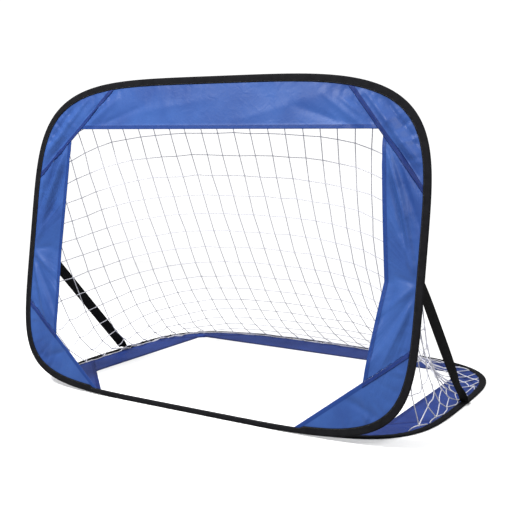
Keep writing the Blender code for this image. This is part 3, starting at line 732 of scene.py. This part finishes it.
def stitch_tree():
    """One flattened thread at each pitch along every line of the wire mesh."""
    tree, given, result = new_tree("stitch_row", Length="Float", Pitch="Float", Thread="Float", Turn="Float",
                                   Seed="Int", Finish="Material")
    rows = add_node(tree, "GeometryNodeMeshToCurve", {"Mesh": given["Geometry"]})
    spaced = add_node(tree, "GeometryNodeResampleCurve", {"Curve": rows, "Length": given["Pitch"]},
                      mode="LENGTH")
    ahead = add_node(tree, "GeometryNodeInputTangent", {})
    facing = add_node(tree, "FunctionNodeAlignRotationToVector", {"Vector": ahead}, axis="X")
    ball = add_node(tree, "GeometryNodeMeshUVSphere", {"Segments": 6, "Rings": 4, "Radius": 0.5})
    size = add_node(tree, "ShaderNodeCombineXYZ", {
        "X": given["Length"], "Y": given["Thread"], "Z": given["Thread"]})
    thread = add_node(tree, "GeometryNodeTransform", {"Geometry": ball, "Scale": size})
    askew = add_node(tree, "FunctionNodeRandomValue", {"Seed": given["Seed"]}, 1, data_type="FLOAT")
    swing = calc(tree, "MULTIPLY", calc(tree, "SUBTRACT", askew, 0.5), given["Turn"])
    spin = add_node(tree, "ShaderNodeCombineXYZ", {"Z": swing})
    turn = add_node(tree, "FunctionNodeRotateRotation", {"Rotation": facing, "Rotate By": spin},
                    rotation_space="LOCAL")
    sewn = add_node(tree, "GeometryNodeInstanceOnPoints", {
        "Points": spaced, "Instance": thread, "Rotation": turn})
    finish_tree(tree, sewn, given["Finish"], result)
    return tree


def grow(name, tree, points, edges, inputs, marks=()):
    """Run a tree on a wire mesh with named marks on its points, and keep the result as a plain mesh."""
    wire = bpy.data.meshes.new(name)
    wire.from_pydata(np.asarray(points, float).tolist(), edges, [])
    for mark, kind, field, values in marks:
        wire.attributes.new(mark, kind, "POINT").data.foreach_set(field, np.asarray(values).ravel())
    piece = add_object(name, wire)
    modifier = piece.modifiers.new(tree.name, "NODES")
    modifier.node_group = tree
    identifiers = {item.name: item.identifier for item in tree.interface.items_tree if item.in_out == "INPUT"}
    for socket, value in inputs.items():
        modifier[identifiers[socket]] = value
    bpy.context.view_layer.update()
    grown = bpy.data.meshes.new_from_object(piece.evaluated_get(bpy.context.evaluated_depsgraph_get()))
    piece.modifiers.remove(modifier)
    piece.data = grown
    grown.name = name
    return piece


def row_across(outline, line, distance, margin):
    """Points along a line, a distance out from it, as far as an outline reaches less a margin."""
    origin, direction = shifted(line, distance)
    strip = clip(clip(outline, *shifted((origin, direction), -1e-4)), *turned(shifted((origin, direction), 1e-4)))
    along, _ = measure(strip, (origin, direction))
    run = np.arange(min(along) + margin, max(along) - margin, ROW_STEP)
    return np.array(origin) + run[:, None] * np.array([-direction[1], direction[0]])


def thread_finish(name, colour, roughness, sheen, dark, light):
    """Sewing thread, in tones that change from stitch to stitch."""
    finish, tree, inputs = new_finish(name, colour, roughness, Sheen_Weight=sheen)
    tint(tree, inputs, noise(tree, object_place(tree), 1500.0), dark, light)
    return finish


def sew_rows(hoop, part, rows, seed, finish):
    """Stitches along rows of points on one hoop, as one piece."""
    points, edges = [], []
    for row in rows:
        first = len(points)
        points += list(row)
        edges += [(first + index, first + index + 1) for index in range(len(row) - 1)]
    sewn = grow(f"{hoop.name}_{part}_stitches", stitch, points, edges, {
        "Length": STITCH_LENGTH, "Pitch": STITCH_PITCH, "Thread": THREAD, "Turn": STITCH_TURN,
        "Seed": seed, "Finish": finish})
    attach(sewn, hoop.name)
    if part == "hem" and hoop is front:
        lie_flat(sewn)


blue_thread = thread_finish("stitch_thread", (0.02, 0.035, 0.12), 0.55, 0.2, (0.012, 0.02, 0.08),
                            (0.04, 0.065, 0.2))
black_thread = thread_finish("black_thread", (0.02, 0.02, 0.022), 0.5, 0.3, (0.012, 0.012, 0.013),
                             (0.05, 0.05, 0.054))
stitch = stitch_tree()
ring = np.append(np.arange(HOOP_STEPS), 0)
for rim in (front_rim, base_rim):
    hoop = rim.hoop
    faces = (1, -1) if hoop is front else (1,)
    blue_rows = []
    for own, line, outline in hem_lines:
        if own is rim:
            row = row_across(outline, line, HEM_ROW, HEM_ROW_MARGIN)
            blue_rows += [rim.drape(row, side * (HEM_THICKNESS / 2 + THREAD_LIFT)) for side in faces]
    for own, line, outline in seam_lines:
        if own is rim and hoop is front:
            for distance in SEAM_ROWS:
                row = row_across(outline, line, distance, SEAM_ROW_MARGIN)
                blue_rows.append(rim.drape(row, SEAM_LIFT + SEAM_THICKNESS / 2 + THREAD_LIFT))
    sew_rows(hoop, "hem", blue_rows, 3, blue_thread)
    sleeve_row = hoop.inset(hoop.sleeve_width() - SLEEVE_ROW)[ring]
    heights = [side * (SLEEVE_LIP + CLEARANCE + THREAD / 2) for side in faces]
    sew_rows(hoop, "sleeve", [hoop.place(sleeve_row, height) for height in heights], 5, black_thread)


# ---------------------------------------------------------------- side straps
# Black polyester webbing. Each strap starts across the back of the upright
# sleeve, runs down outside the net with its flat to the side, turns over near
# the floor and ends sewn along the floor sleeve.

STRAP_WIDTH = 0.028
STRAP_THICKNESS = 0.0012
STRAP_FRONT_HEIGHT = {-1: 0.418, 1: 0.403}  # where the left and the right strap start, up the upright hoop
STRAP_FLOOR_REACH = 0.455  # where they end on the floor hoop
STRAP_TOP_TAB = 0.0075  # how much of a strap is sewn down at its top
STRAP_TOP_INSET = 0.30  # where that starts, as a share of the sleeve's width
STRAP_TURN = 0.004  # radius in which it turns down
STRAP_START_DEPTH = 0.0019  # behind the plane of the upright hoop, from where its free run is aimed
STRAP_FOOT_TAB = 0.025  # how much is sewn down at its foot
STRAP_FOOT_INSET = 0.0085
STRAP_STEPS = 8
STRAP_LIFT = (0.004, 0.006)  # over the upright hoop and over the floor hoop, when folded
# Shares of a strap's free run, each with how much of its turn from on edge to flat is done there.
STRAP_RUN = {-1: ((0.012, 0.0), (0.05, 0.02), (0.2, 0.2), (0.5, 0.3), (0.8, 0.3), (0.93, 0.35), (0.975, 0.55)),
             1: ((0.012, 0.0), (0.05, 0.1), (0.2, 0.25), (0.5, 0.30), (0.75, 0.22), (0.9, 0.0), (0.97, 0.5))}
STRAP_LANDING = ((-0.5, 1.0), (-0.2, 0.0), (0.5, 0.0))
STRAP_PROFILE = ((-0.5, -0.25), (-0.49, -0.5), (0.0, -0.5), (0.49, -0.5), (0.5, -0.25),
                 (0.5, 0.25), (0.49, 0.5), (0.0, 0.5), (-0.49, 0.5), (-0.5, 0.25))


def unit(vector):
    """Vector of length one."""
    return vector / norm(vector)


def crossing(hoop, axis, value, distance):
    """Point on the right of an inset outline with a given y (axis 1), or x on the far run (axis 0)."""
    half = [point for point in hoop.inset(distance) if point[0] > 0]
    if axis == 0:
        half = [point for point in half if point[1] > hoop.start + hoop.length / 2]
    half.sort(key=lambda point: point[axis])
    other = np.interp(value, [point[axis] for point in half], [point[1 - axis] for point in half])
    return np.array([value, other]) if axis == 0 else np.array([other, value])


def smooth_path(controls, steps):
    """Catmull-Rom curve through control points, with a number of steps between two of them."""
    controls = np.array(controls)
    padded = np.vstack([2 * controls[0] - controls[1], controls, 2 * controls[-1] - controls[-2]])
    places = []
    for span in range(len(controls) - 1):
        a, b, c, d = padded[span:span + 4]
        for index in range(steps):
            t = index / steps
            places.append(0.5 * (2 * b + (c - a) * t + (2 * a - 5 * b + 4 * c - d) * t ** 2
                                 + (3 * b - 3 * c + d - a) * t ** 3))
    places.append(controls[-1])
    return np.array(places)


def strap_marks(side):
    """Points that a strap is drawn through, each with how far the strap has turned flat there."""
    def spot(hoop, x, y, height):
        return hoop.place(np.array([[side * x, y]]), height)[0]

    over = {hoop: hoop.wire_rise + SLEEVE_HALF_HEIGHT + CLEARANCE + STRAP_THICKNESS / 2 for hoop in (front, base)}
    foot_x, foot_y = crossing(base, 1, base.start + STRAP_FLOOR_REACH, STRAP_FOOT_INSET)
    foot = [(spot(base, foot_x, foot_y + STRAP_FOOT_TAB * share, over[base] + STRAP_THICKNESS * lift), 1.0)
            for share, lift in STRAP_LANDING]
    top_x, top_y = crossing(front, 1, front.start + STRAP_FRONT_HEIGHT[side], 0.0)
    up_front = spot(front, 0.0, 1.0, 0.0) - spot(front, 0.0, 0.0, 0.0)
    run = unit(foot[0][0] - spot(front, top_x, top_y, -STRAP_START_DEPTH))
    upward = np.dot(run, up_front)
    slope = upward / sqrt(1.0 - upward ** 2)
    start = SLEEVE_WIDTH * STRAP_TOP_INSET
    end = start + STRAP_TOP_TAB
    top, before, rise = [], (start, 0.0), 0.0
    for here in ((start, 0.0), ((start + end) / 2, 0.0), (end, 0.0),
                 (end + STRAP_TURN * 0.7, STRAP_TURN * 0.3), (end + STRAP_TURN, STRAP_TURN)):
        rise += slope * dist(before, here)
        inward, lift = before = here
        top.append((spot(front, top_x - inward, top_y + rise, -over[front] - lift), 0.0))
    first, last = top[-1][0], foot[0][0]
    return [*top, *[(first + (last - first) * share, turn) for share, turn in STRAP_RUN[side]], *foot]


def blend_by_angle(piece, lift_front, lift_base):
    """Bake a piece between the hoops into its place in the goal."""
    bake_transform(piece)


def make_strap(side_name, side, finish):
    """Ribbon of webbing along the marks of one side."""
    marks = strap_marks(side)
    on_edge = np.array([0.0, cos(FRONT_TILT), sin(FRONT_TILT)])
    flat = np.array([1.0, 0.0, 0.0])
    path = smooth_path([place for place, turn in marks], STRAP_STEPS)
    widths = smooth_path([on_edge * (1 - turn) + flat * turn for place, turn in marks], STRAP_STEPS)
    sections = []
    for index, (place, width) in enumerate(zip(path, widths)):
        tangent = unit(path[min(index + 1, len(path) - 1)] - path[max(index - 1, 0)])
        square = np.cross(tangent, unit(width))
        thick = unit(square) * STRAP_THICKNESS
        wide = unit(width) / norm(square) * STRAP_WIDTH
        sections.append([place + wide * across + thick * up for across, up in STRAP_PROFILE])
    sections = np.array(sections)
    count = len(STRAP_PROFILE)
    faces = loft_faces(len(sections), count, False)
    lengths = norm(np.diff(path, axis=0), axis=1)
    runs = loft_runs(np.concatenate([[0.0], np.cumsum(lengths)]), sections[0])
    runs += [(0.0, 0.0)] * (2 * count)
    strap = make_piece(f"strap_{side_name}_webbing", sections.reshape(-1, 3), faces, finish, runs)
    blend_by_angle(strap, *STRAP_LIFT)
    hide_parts(f"strap_{side_name}")


webbing = tape_finish("strap_webbing", (0.003, 0.003, 0.003), (0.010, 0.010, 0.011), 0.0016, 0.0022, 0.00022)
make_strap("left", -1, webbing)
make_strap("right", 1, webbing)


# ---------------------------------------------------------------- knotted net
# White polyester cord knotted into square meshes, cut to shape and sewn in under the
# sleeves' inner edges; its rear edge runs on a cord of its own along the floor hoop.
# It hangs taut in the middle; near the floor it is slack and its cords curl.

NET_CORD = 0.0026
CORD_SIDES = 6
TWIST_PITCH = 0.004
STRANDS = 3.0
STRAND_DEPTH = 0.0003
KNOT_STEPS = 8
KNOT_REACH = (0.0016, 0.0017, 0.0005)  # half its length, width and weave
KNOT_OFFSET = 0.0006
NET_TOP_INSET = 0.045  # ends of its top edge, in from the side of the upright hoop
NET_REAR_INSET = 0.151  # ends of its rear edge, in from the side of the floor hoop
NET_SIDE_START = 0.120  # its sides leave the front and reach the floor here
NET_SIDE_MIDDLE = 0.632
NET_CUT = {"top": (11.5, 0.0), "start": (17.35, 10.65), "side": (12.0, 16.64),
           "rear": (6.8, 18.65), "middle": (0.0, 18.33)}  # corners of the cut, in meshes across and down
NET_TOP_SHIFT = -1.33  # meshes that the top edge is sewn on to one side
NET_PHASE = (0.20, 0.084)  # where the first cords lie in the cut, in meshes
NET_SHORTEST = 0.15  # shorter ends than this share of a mesh have no knot
NET_ROW_PULL = 0.61  # tension of the rows against that of the columns
NET_LOAD = 0.0005  # weight of a knot against the tension of a column
NET_GIVE = 0.002  # spare length of a cord, as a share of its span
NET_SLACK = {-1: 0.10, 1: 0.12}  # the most that is added low down at the left and at the right
NET_SLACK_HEIGHT = 0.32  # under which it is added
NET_SLACK_SIDE = (0.28, 0.48)  # and how far out it starts and is full
NET_JITTER = 0.0010
NET_EDGE_GIVE = 1.02  # length of the rear edge's own cord, against its span
NET_EDGE_REAR = 0.8  # how far back that cord starts on the right
NET_EDGE_LOW = 0.02  # ends of cords under this height are on the floor hoop
NET_FRONT_REACH = 0.26  # how far back the net can touch the upright fabric
NET_LIFT = HEM_THICKNESS / 2 + CLEARANCE + NET_CORD / 2
NET_EDGE = SLEEVE_WIDTH + CLEARANCE + NET_CORD / 2
SETTLE_STEPS = 200
SETTLE_PASSES = 8
SETTLE_DRIFT = 0.9  # share of its speed that a falling knot keeps
SETTLE_EASE = 1.4  # makes the cords' pulls on a knot settle sooner
CLEAR_EVERY = 20  # steps between two lifts off the fabric
CLEAR_LAST = 8  # steps at the end that all have one
SAG_STEP = 0.00012
CORD_SPANS = 6
TAUT = 0.004  # cords with less spare length are drawn straight
DEEPEST_CURL = 0.13  # of a cord, as a share of its span
CORD_DROOP = {True: 0.1, False: -1.5}  # how much a curl turns up or down, lying on the floor or not
CORD_LYING = 0.03  # knots under this height lie on the floor
CORD_ESS = 0.3  # the second bend of a curl, against its first
HEM_PLAY = 0.02  # how far in from the free edge of the upright hoop the net is kept behind it


def along_path(path, shares):
    """Points at shares of a path's length."""
    lengths = norm(np.diff(path, axis=0), axis=1)
    marks = np.concatenate([[0.0], np.cumsum(lengths)])
    return np.stack([np.interp(np.asarray(shares) * marks[-1], marks, path[:, axis])
                     for axis in range(path.shape[1])], axis=-1)


def edge_path(hoop, start, end, lift):
    """The hoop's inner edge on the right, from one point of it round to another, in the goal."""
    def turn(point):
        return atan2(point[1] - hoop.start - hoop.length / 2, point[0])
    between = sorted((point for point in hoop.inset(NET_EDGE) if turn(start) < turn(point) < turn(end)), key=turn)
    return hoop.place(np.array([start, *between, end]), lift)


def net_cut():
    """Edges of the net's cut: two corners in meshes, and the path along the hoops between them."""
    runs = []
    for hoop, lift, stops in (
            (front, -NET_LIFT, (("start", 1, front.start + NET_SIDE_START),
                                ("top", 0, front.half_width - NET_TOP_INSET), ("crown", 0, 0.0))),
            (base, NET_LIFT, (("start", 1, base.start + NET_SIDE_START),
                              ("side", 1, base.start + NET_SIDE_MIDDLE),
                              ("rear", 0, base.half_width - NET_REAR_INSET), ("middle", 0, 0.0)))):
        places = [(name, crossing(hoop, axis, value, NET_EDGE)) for name, axis, value in stops]
        runs += [(first, last, edge_path(hoop, start, end, lift))
                 for (first, start), (last, end) in zip(places[:-1], places[1:])]
    edges = []
    for side in (1.0, -1.0):
        corner = {name: np.array([side * across, down]) for name, (across, down) in NET_CUT.items()}
        corner["top"][0] += NET_TOP_SHIFT
        corner["crown"] = np.array([NET_TOP_SHIFT, 0.0])
        edges += [(corner[first], corner[last], path * np.array([side, 1.0, 1.0])) for first, last, path in runs]
    return edges


def cord_ends(edges, axis, value):
    """Where one lattice line leaves the cut on either side: its number of meshes along, and its place."""
    ends = []
    for first, last, path in edges:
        before, after = first[axis] - value, last[axis] - value
        if (before > 0) != (after > 0):
            share = before / (before - after)
            ends.append((first[1 - axis] + share * (last[1 - axis] - first[1 - axis]), along_path(path, share)))
    ends.sort(key=lambda end: end[0])
    return ends[0], ends[-1]


def lay_out(edges):
    """Knots inside the cut and the cords between them and its edge."""
    width = NET_CUT["start"][0]
    depth = max(down for _, down in NET_CUT.values())
    lines, ends = [], []
    for axis, marks in enumerate((np.arange(-ceil(width), width), np.arange(1, depth))):
        corners = [first[axis] for first, _, _ in edges]
        lines.append([mark for mark in marks + NET_PHASE[axis] if min(corners) < mark < max(corners)])
        ends.append([cord_ends(edges, axis, mark) for mark in lines[axis]])
    number, cords, fixed = {}, [], []
    for column, across in enumerate(lines[0]):
        for row, down in enumerate(lines[1]):
            if all(first[0] < mark - NET_SHORTEST and mark + NET_SHORTEST < last[0]
                   for (first, last), mark in ((ends[0][column], down), (ends[1][row], across))):
                number[column, row] = len(number)
    for (column, row), knot in number.items():
        for axis, step in ((1, -1), (1, 1), (0, -1), (0, 1)):
            other = (column + step, row) if axis else (column, row + step)
            if other in number:
                if step > 0:
                    cords.append((knot, number[other], 1.0, axis))
                continue
            end = ends[axis][row if axis else column][(step + 1) // 2]
            length = abs(end[0] - (lines[0][column] if axis else lines[1][row]))
            cords.append((knot, len(number) + len(fixed), length, axis))
            fixed.append(end[1])
    return number, np.array(fixed), cords


def pull_tight(count, fixed, cords):
    """Knots where the pulls of their four cords and their weight balance, with the sewn ends after them."""
    pulls, load = np.zeros((count, count)), np.zeros((count, 3))
    load[:, 2] -= NET_LOAD
    for first, second, length, axis in cords:
        pull = (NET_ROW_PULL if axis else 1.0) / length
        pulls[first, first] += pull
        if second < count:
            pulls[second, second] += pull
            pulls[first, second] -= pull
            pulls[second, first] -= pull
        else:
            load[first] += pull * fixed[second - count]
    return np.concatenate([np.linalg.solve(pulls, load), fixed])


def rest_height(places):
    """Lowest height that the middle of a cord can have: on the floor, or on the fabric of the floor hoop."""
    flat, _ = base.flatten(places)
    on_cloth = (base_rim.from_mouth(flat) > 0) & (np.abs(flat[:, 0]) < base.half_width)
    cloth = SLEEVE_LIP + HEM_THICKNESS / 2 + np.maximum(base_rim.fold_height(flat), 0.0)
    return np.where(on_cloth, cloth, 0.0) + NET_CORD / 2 + CLEARANCE / 2


def keep_clear(places):
    """Move points up off the floor and its fabric, and back behind the fabric of the upright hoop."""
    places = places.copy()
    places[:, 2] = np.maximum(places[:, 2], rest_height(places))
    near = places[:, 1] < NET_FRONT_REACH
    flat, height = front.flatten(places[near])
    behind = front.flatten(front_rim.drape(flat, -HEM_THICKNESS / 2 - NET_CORD))[1]
    on_cloth = front_rim.from_mouth(flat) > -HEM_PLAY
    places[near] = front.place(flat, np.where(on_cloth, np.minimum(height, behind), height))
    return places


def let_down(places, count, pairs, longest):
    """Let the knots fall under their weight as far as their cords allow."""
    before = places.copy()
    first, second = pairs.T
    free = np.arange(len(places)) < count
    share = 1.0 / (free[first].astype(float) + free[second])
    for step in range(SETTLE_STEPS):
        drift = SETTLE_DRIFT * (places - before)
        before = places.copy()
        drift[:, 2] -= SAG_STEP
        places[:count] += drift[:count]
        for _ in range(SETTLE_PASSES):
            gap = places[second] - places[first]
            span = norm(gap, axis=1)
            spare = np.maximum(span - longest, 0.0) / span
            shift, pulled = np.zeros_like(places), np.full(len(places), 1e-9)
            np.add.at(shift, first, gap * (spare * share)[:, None])
            np.add.at(shift, second, -gap * (spare * share)[:, None])
            np.add.at(pulled, first, spare > 0)
            np.add.at(pulled, second, spare > 0)
            shift *= SETTLE_EASE / np.maximum(pulled, SETTLE_EASE)[:, None]
            places[:count] += shift[:count]
        if (step + 1) % CLEAR_EVERY == 0 or step > SETTLE_STEPS - CLEAR_LAST:
            places[:count] = keep_clear(places[:count])
    return places


def slack_cord(start, end, length, rng):
    """Points of one cord between two knots: straight if it is taut, curled if it is longer than its span."""
    span = end - start
    distance = norm(span)
    spare = max(length / distance - 1.0, 0.0)
    spans = CORD_SPANS if spare > TAUT else 2
    shares = np.arange(1, spans) / spans
    depth = min(sqrt(3 * spare / 8), DEEPEST_CURL) * distance
    lying = bool(start[2] < CORD_LYING and end[2] < CORD_LYING)
    aside = np.array([rng.normal(), rng.normal(), CORD_DROOP[lying]])
    aside -= aside @ span / distance ** 2 * span
    aside /= norm(aside)
    bow = 4 * shares * (1 - shares)
    ess = np.sin(2 * pi * shares) * rng.normal() * CORD_ESS
    return start + shares[:, None] * span + (bow + ess)[:, None] * depth * aside


def weave_net(rng):
    """Points, edges and marks of the net's cords and knots."""
    number, fixed, cords = lay_out(net_cut())
    count = len(number)
    places = pull_tight(count, fixed, cords)
    pairs = np.array([cord[:2] for cord in cords])
    spans = norm(places[pairs[:, 1]] - places[pairs[:, 0]], axis=1)
    middles = places[pairs].mean(axis=1)
    slack = ease(1 - middles[:, 2] / NET_SLACK_HEIGHT)
    slack *= ease((np.abs(middles[:, 0]) - NET_SLACK_SIDE[0]) / (NET_SLACK_SIDE[1] - NET_SLACK_SIDE[0]))
    slack *= np.where(middles[:, 0] < 0, NET_SLACK[-1], NET_SLACK[1])
    longest = spans * (1 + NET_GIVE + slack * rng.uniform(0.5, 1.0, len(spans)))
    places = let_down(places, count, pairs, longest)
    spare = longest / norm(places[pairs[:, 1]] - places[pairs[:, 0]], axis=1)
    places[:count] = keep_clear(places[:count] + rng.normal(0.0, NET_JITTER, (count, 3)))

    square = np.zeros((len(places), 3))
    ways = np.zeros((2, len(places), 3))
    for (first, second), (_, _, _, axis) in zip(pairs, cords):
        way = places[second] - places[first]
        ways[axis, first] += way if second < count else 0.0
        ways[axis, second] += way
    square[:count] = np.cross(ways[1], ways[0])[:count]
    square[:count] /= np.maximum(norm(square[:count], axis=1), 1e-9)[:, None]

    points, edges, loose = list(places), [], []

    def run_cord(first, second, length):
        shares = slack_cord(points[first], points[second], length, rng)
        start = len(points)
        points.extend(shares)
        loose.extend(range(start, len(points)))
        chain = [first, *range(start, len(points)), second]
        edges.extend(zip(chain[:-1], chain[1:]))

    for (first, second), slackness in zip(pairs, spare):
        run_cord(first, second, norm(places[second] - places[first]) * slackness)
    edge = [index for index in range(count, len(places))
            if places[index, 2] < NET_EDGE_LOW and (places[index, 0] < 0 or places[index, 1] > NET_EDGE_REAR)]
    edge.sort(key=lambda index: atan2(places[index, 1] - base.start - base.length / 2, places[index, 0])
              % (2 * pi))
    for first, second in zip(edge[:-1], edge[1:]):
        run_cord(first, second, norm(places[second] - places[first]) * NET_EDGE_GIVE)
    points = np.array(points)
    points[loose] = keep_clear(points[loose])
    between = len(points) - len(places)
    tied = np.zeros(len(points), bool)
    tied[:count] = True
    tied[edge] = True
    square[edge] = (0.0, 0.0, 1.0)
    return points, edges, np.concatenate([square, np.zeros((between, 3))]), tied


def knot_shape():
    """One knot: two turns of cord drawn tight round each other, as a small mesh in the net's plane."""
    work = bmesh.new()
    upward = Vector((0, 0, 1))
    for side in (-1, 1):
        rings = []
        for turn in np.linspace(0.0, pi, KNOT_STEPS + 1):
            centre = Vector((cos(turn) * KNOT_REACH[0],
                             side * (sin(turn) * KNOT_REACH[1] - KNOT_OFFSET),
                             side * cos(2 * turn) * KNOT_REACH[2]))
            ahead = Vector((-sin(turn), side * cos(turn), 0.0)).normalized()
            aside = ahead.cross(upward)
            around = [aside * cos(angle) + upward * sin(angle)
                      for angle in np.arange(CORD_SIDES) / CORD_SIDES * 2 * pi]
            rings.append([work.verts.new(centre + spoke * NET_CORD / 2) for spoke in around])
        for near, far in zip(rings[:-1], rings[1:]):
            for index in range(CORD_SIDES):
                work.faces.new((near[index - 1], far[index - 1], far[index], near[index]))
        work.faces.new(rings[0])
        work.faces.new(rings[-1][::-1])
    bmesh.ops.recalc_face_normals(work, faces=work.faces)
    mesh = bpy.data.meshes.new("knot")
    work.to_mesh(mesh)
    work.free()
    return add_object("knot", mesh)


def cord_tree():
    """Round cord along every line of the wire mesh, and a knot at each tied point, square to the net."""
    tree, given, result = new_tree("knotted_cord", Cord="Float", Sides="Int", Knot="Object", Finish="Material")
    lines = add_node(tree, "GeometryNodeMeshToCurve", {"Mesh": given["Geometry"]})
    ring = add_node(tree, "GeometryNodeCurvePrimitiveCircle", {
        "Resolution": given["Sides"], "Radius": calc(tree, "MULTIPLY", given["Cord"], 0.5)})
    run = add_node(tree, "GeometryNodeSplineParameter", {}, "Length")
    place = add_node(tree, "GeometryNodeInputPosition", {})
    lines, ring = (
        add_node(tree, "GeometryNodeStoreNamedAttribute", {"Geometry": curve, "Name": name, "Value": value},
                 data_type=kind, domain="POINT")
        for curve, name, value, kind in ((lines, "cord_run", run, "FLOAT"),
                                         (ring, "cord_side", place, "FLOAT_VECTOR")))
    tube = add_node(tree, "GeometryNodeCurveToMesh", {
        "Curve": lines, "Profile Curve": ring, "Fill Caps": True})
    tied, square = (add_node(tree, "GeometryNodeInputNamedAttribute", {"Name": name}, "Attribute", data_type=kind)
                    for name, kind in (("tied", "BOOLEAN"), ("square", "FLOAT_VECTOR")))
    knot = add_node(tree, "GeometryNodeObjectInfo", {"Object": given["Knot"]}, "Geometry")
    facing = add_node(tree, "FunctionNodeAlignRotationToVector", {"Vector": square}, axis="Z")
    knots = add_node(tree, "GeometryNodeInstanceOnPoints", {
        "Points": given["Geometry"], "Selection": tied, "Instance": knot, "Rotation": facing})
    both = tree.nodes.new("GeometryNodeJoinGeometry")
    for geometry in (tube, knots):
        tree.links.new(geometry, both.inputs["Geometry"])
    finish_tree(tree, both.outputs["Geometry"], given["Finish"], result)
    return tree


def cord_finish():
    """Twisted white polyester: three strands wound round each other, with painted shade: pale blue-grey, darker in
    the grooves.
    """
    finish, tree, inputs = new_finish("net_cord", (0.5, 0.5, 0.54), 0.75, Specular_IOR_Level=0.2)
    side = add_node(tree, "ShaderNodeAttribute", {}, "Vector", attribute_name="cord_side")
    x, y, _ = add_node(tree, "ShaderNodeSeparateXYZ", {"Vector": side}).node.outputs
    run = add_node(tree, "ShaderNodeAttribute", {}, "Fac", attribute_name="cord_run")
    wound = calc(tree, "MULTIPLY_ADD", run, 2 * pi / TWIST_PITCH, calc(tree, "ARCTAN2", y, x))
    wave = calc(tree, "SINE", calc(tree, "MULTIPLY", wound, STRANDS))
    height = calc(tree, "MULTIPLY_ADD", wave, 0.5, 0.5)
    # painted shade: the white cord toned a pale blue-grey, darker grey in the grooves between strands
    tint(tree, inputs, height, (0.44, 0.44, 0.50), (0.82, 0.82, 0.87))
    emboss(tree, inputs, (height, STRAND_DEPTH))
    return finish


net_points, net_lines, net_square, net_tied = weave_net(np.random.default_rng(7))
knot = knot_shape()
net = grow("net_cords", cord_tree(), net_points, net_lines,
           {"Cord": NET_CORD, "Sides": CORD_SIDES, "Knot": knot, "Finish": cord_finish()},
           [("tied", "BOOLEAN", "value", net_tied), ("square", "FLOAT_VECTOR", "vector", net_square)])
bpy.data.objects.remove(knot)
blend_by_angle(net, NET_LIFT, NET_LIFT)
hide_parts("net")


# ---------------------------------------------------------------- stage
# A plain pale floor under soft studio light from above. The floor and the backdrop
# look brighter to the camera than the light that they throw on the goal.

FLOOR_CORNERS = [(-1.9, -1.6, 0), (1.9, -1.6, 0), (1.9, 2.2, 0), (-1.9, 2.2, 0)]

floor_mesh = bpy.data.meshes.new("floor")
floor_mesh.from_pydata(FLOOR_CORNERS, [], [(0, 1, 2, 3)])
floor = add_object("floor", floor_mesh)
paint, tree, inputs = new_finish("floor_paint", (0.93, 0.93, 0.93), 0.8, Specular_IOR_Level=0.1)
direct = add_node(tree, "ShaderNodeLightPath", {}, "Is Camera Ray")
tint(tree, inputs, direct, (0.45, 0.45, 0.45), (0.93, 0.93, 0.93))
floor_mesh.materials.append(paint)

world = bpy.data.worlds.new("studio")
bpy.context.scene.world = world
world.use_nodes = True
backdrop = world.node_tree.nodes["Background"].inputs
backdrop["Color"].default_value = (1, 1, 1, 1)
seen = add_node(world.node_tree, "ShaderNodeLightPath", {}, "Is Camera Ray")
strength = add_node(world.node_tree, "ShaderNodeMapRange", {"Value": seen, "To Min": 0.40, "To Max": 1.1})
world.node_tree.links.new(strength, backdrop["Strength"])
bpy.context.scene.view_settings.view_transform = "Standard"


def add_light(name, place, target, size, watts):
    """A square soft box that faces a point."""
    data = bpy.data.lights.new(name, "AREA")
    data.size, data.energy = size, watts
    light = add_object(name, data)
    light.location = place
    light.rotation_euler = (Vector(target) - Vector(place)).to_track_quat("-Z", "Y").to_euler()


add_light("overhead", (0.0, 0.4, 6.0), (0.0, 0.4, 0.0), 4.5, 262.0)
add_light("key", (-1.0, -1.5, 2.2), (0.0, 0.0, 0.5), 0.5, 76.0)
add_light("side", (1.5, -1.2, 2.0), (0.2, 0.0, 0.5), 0.7, 30.0)
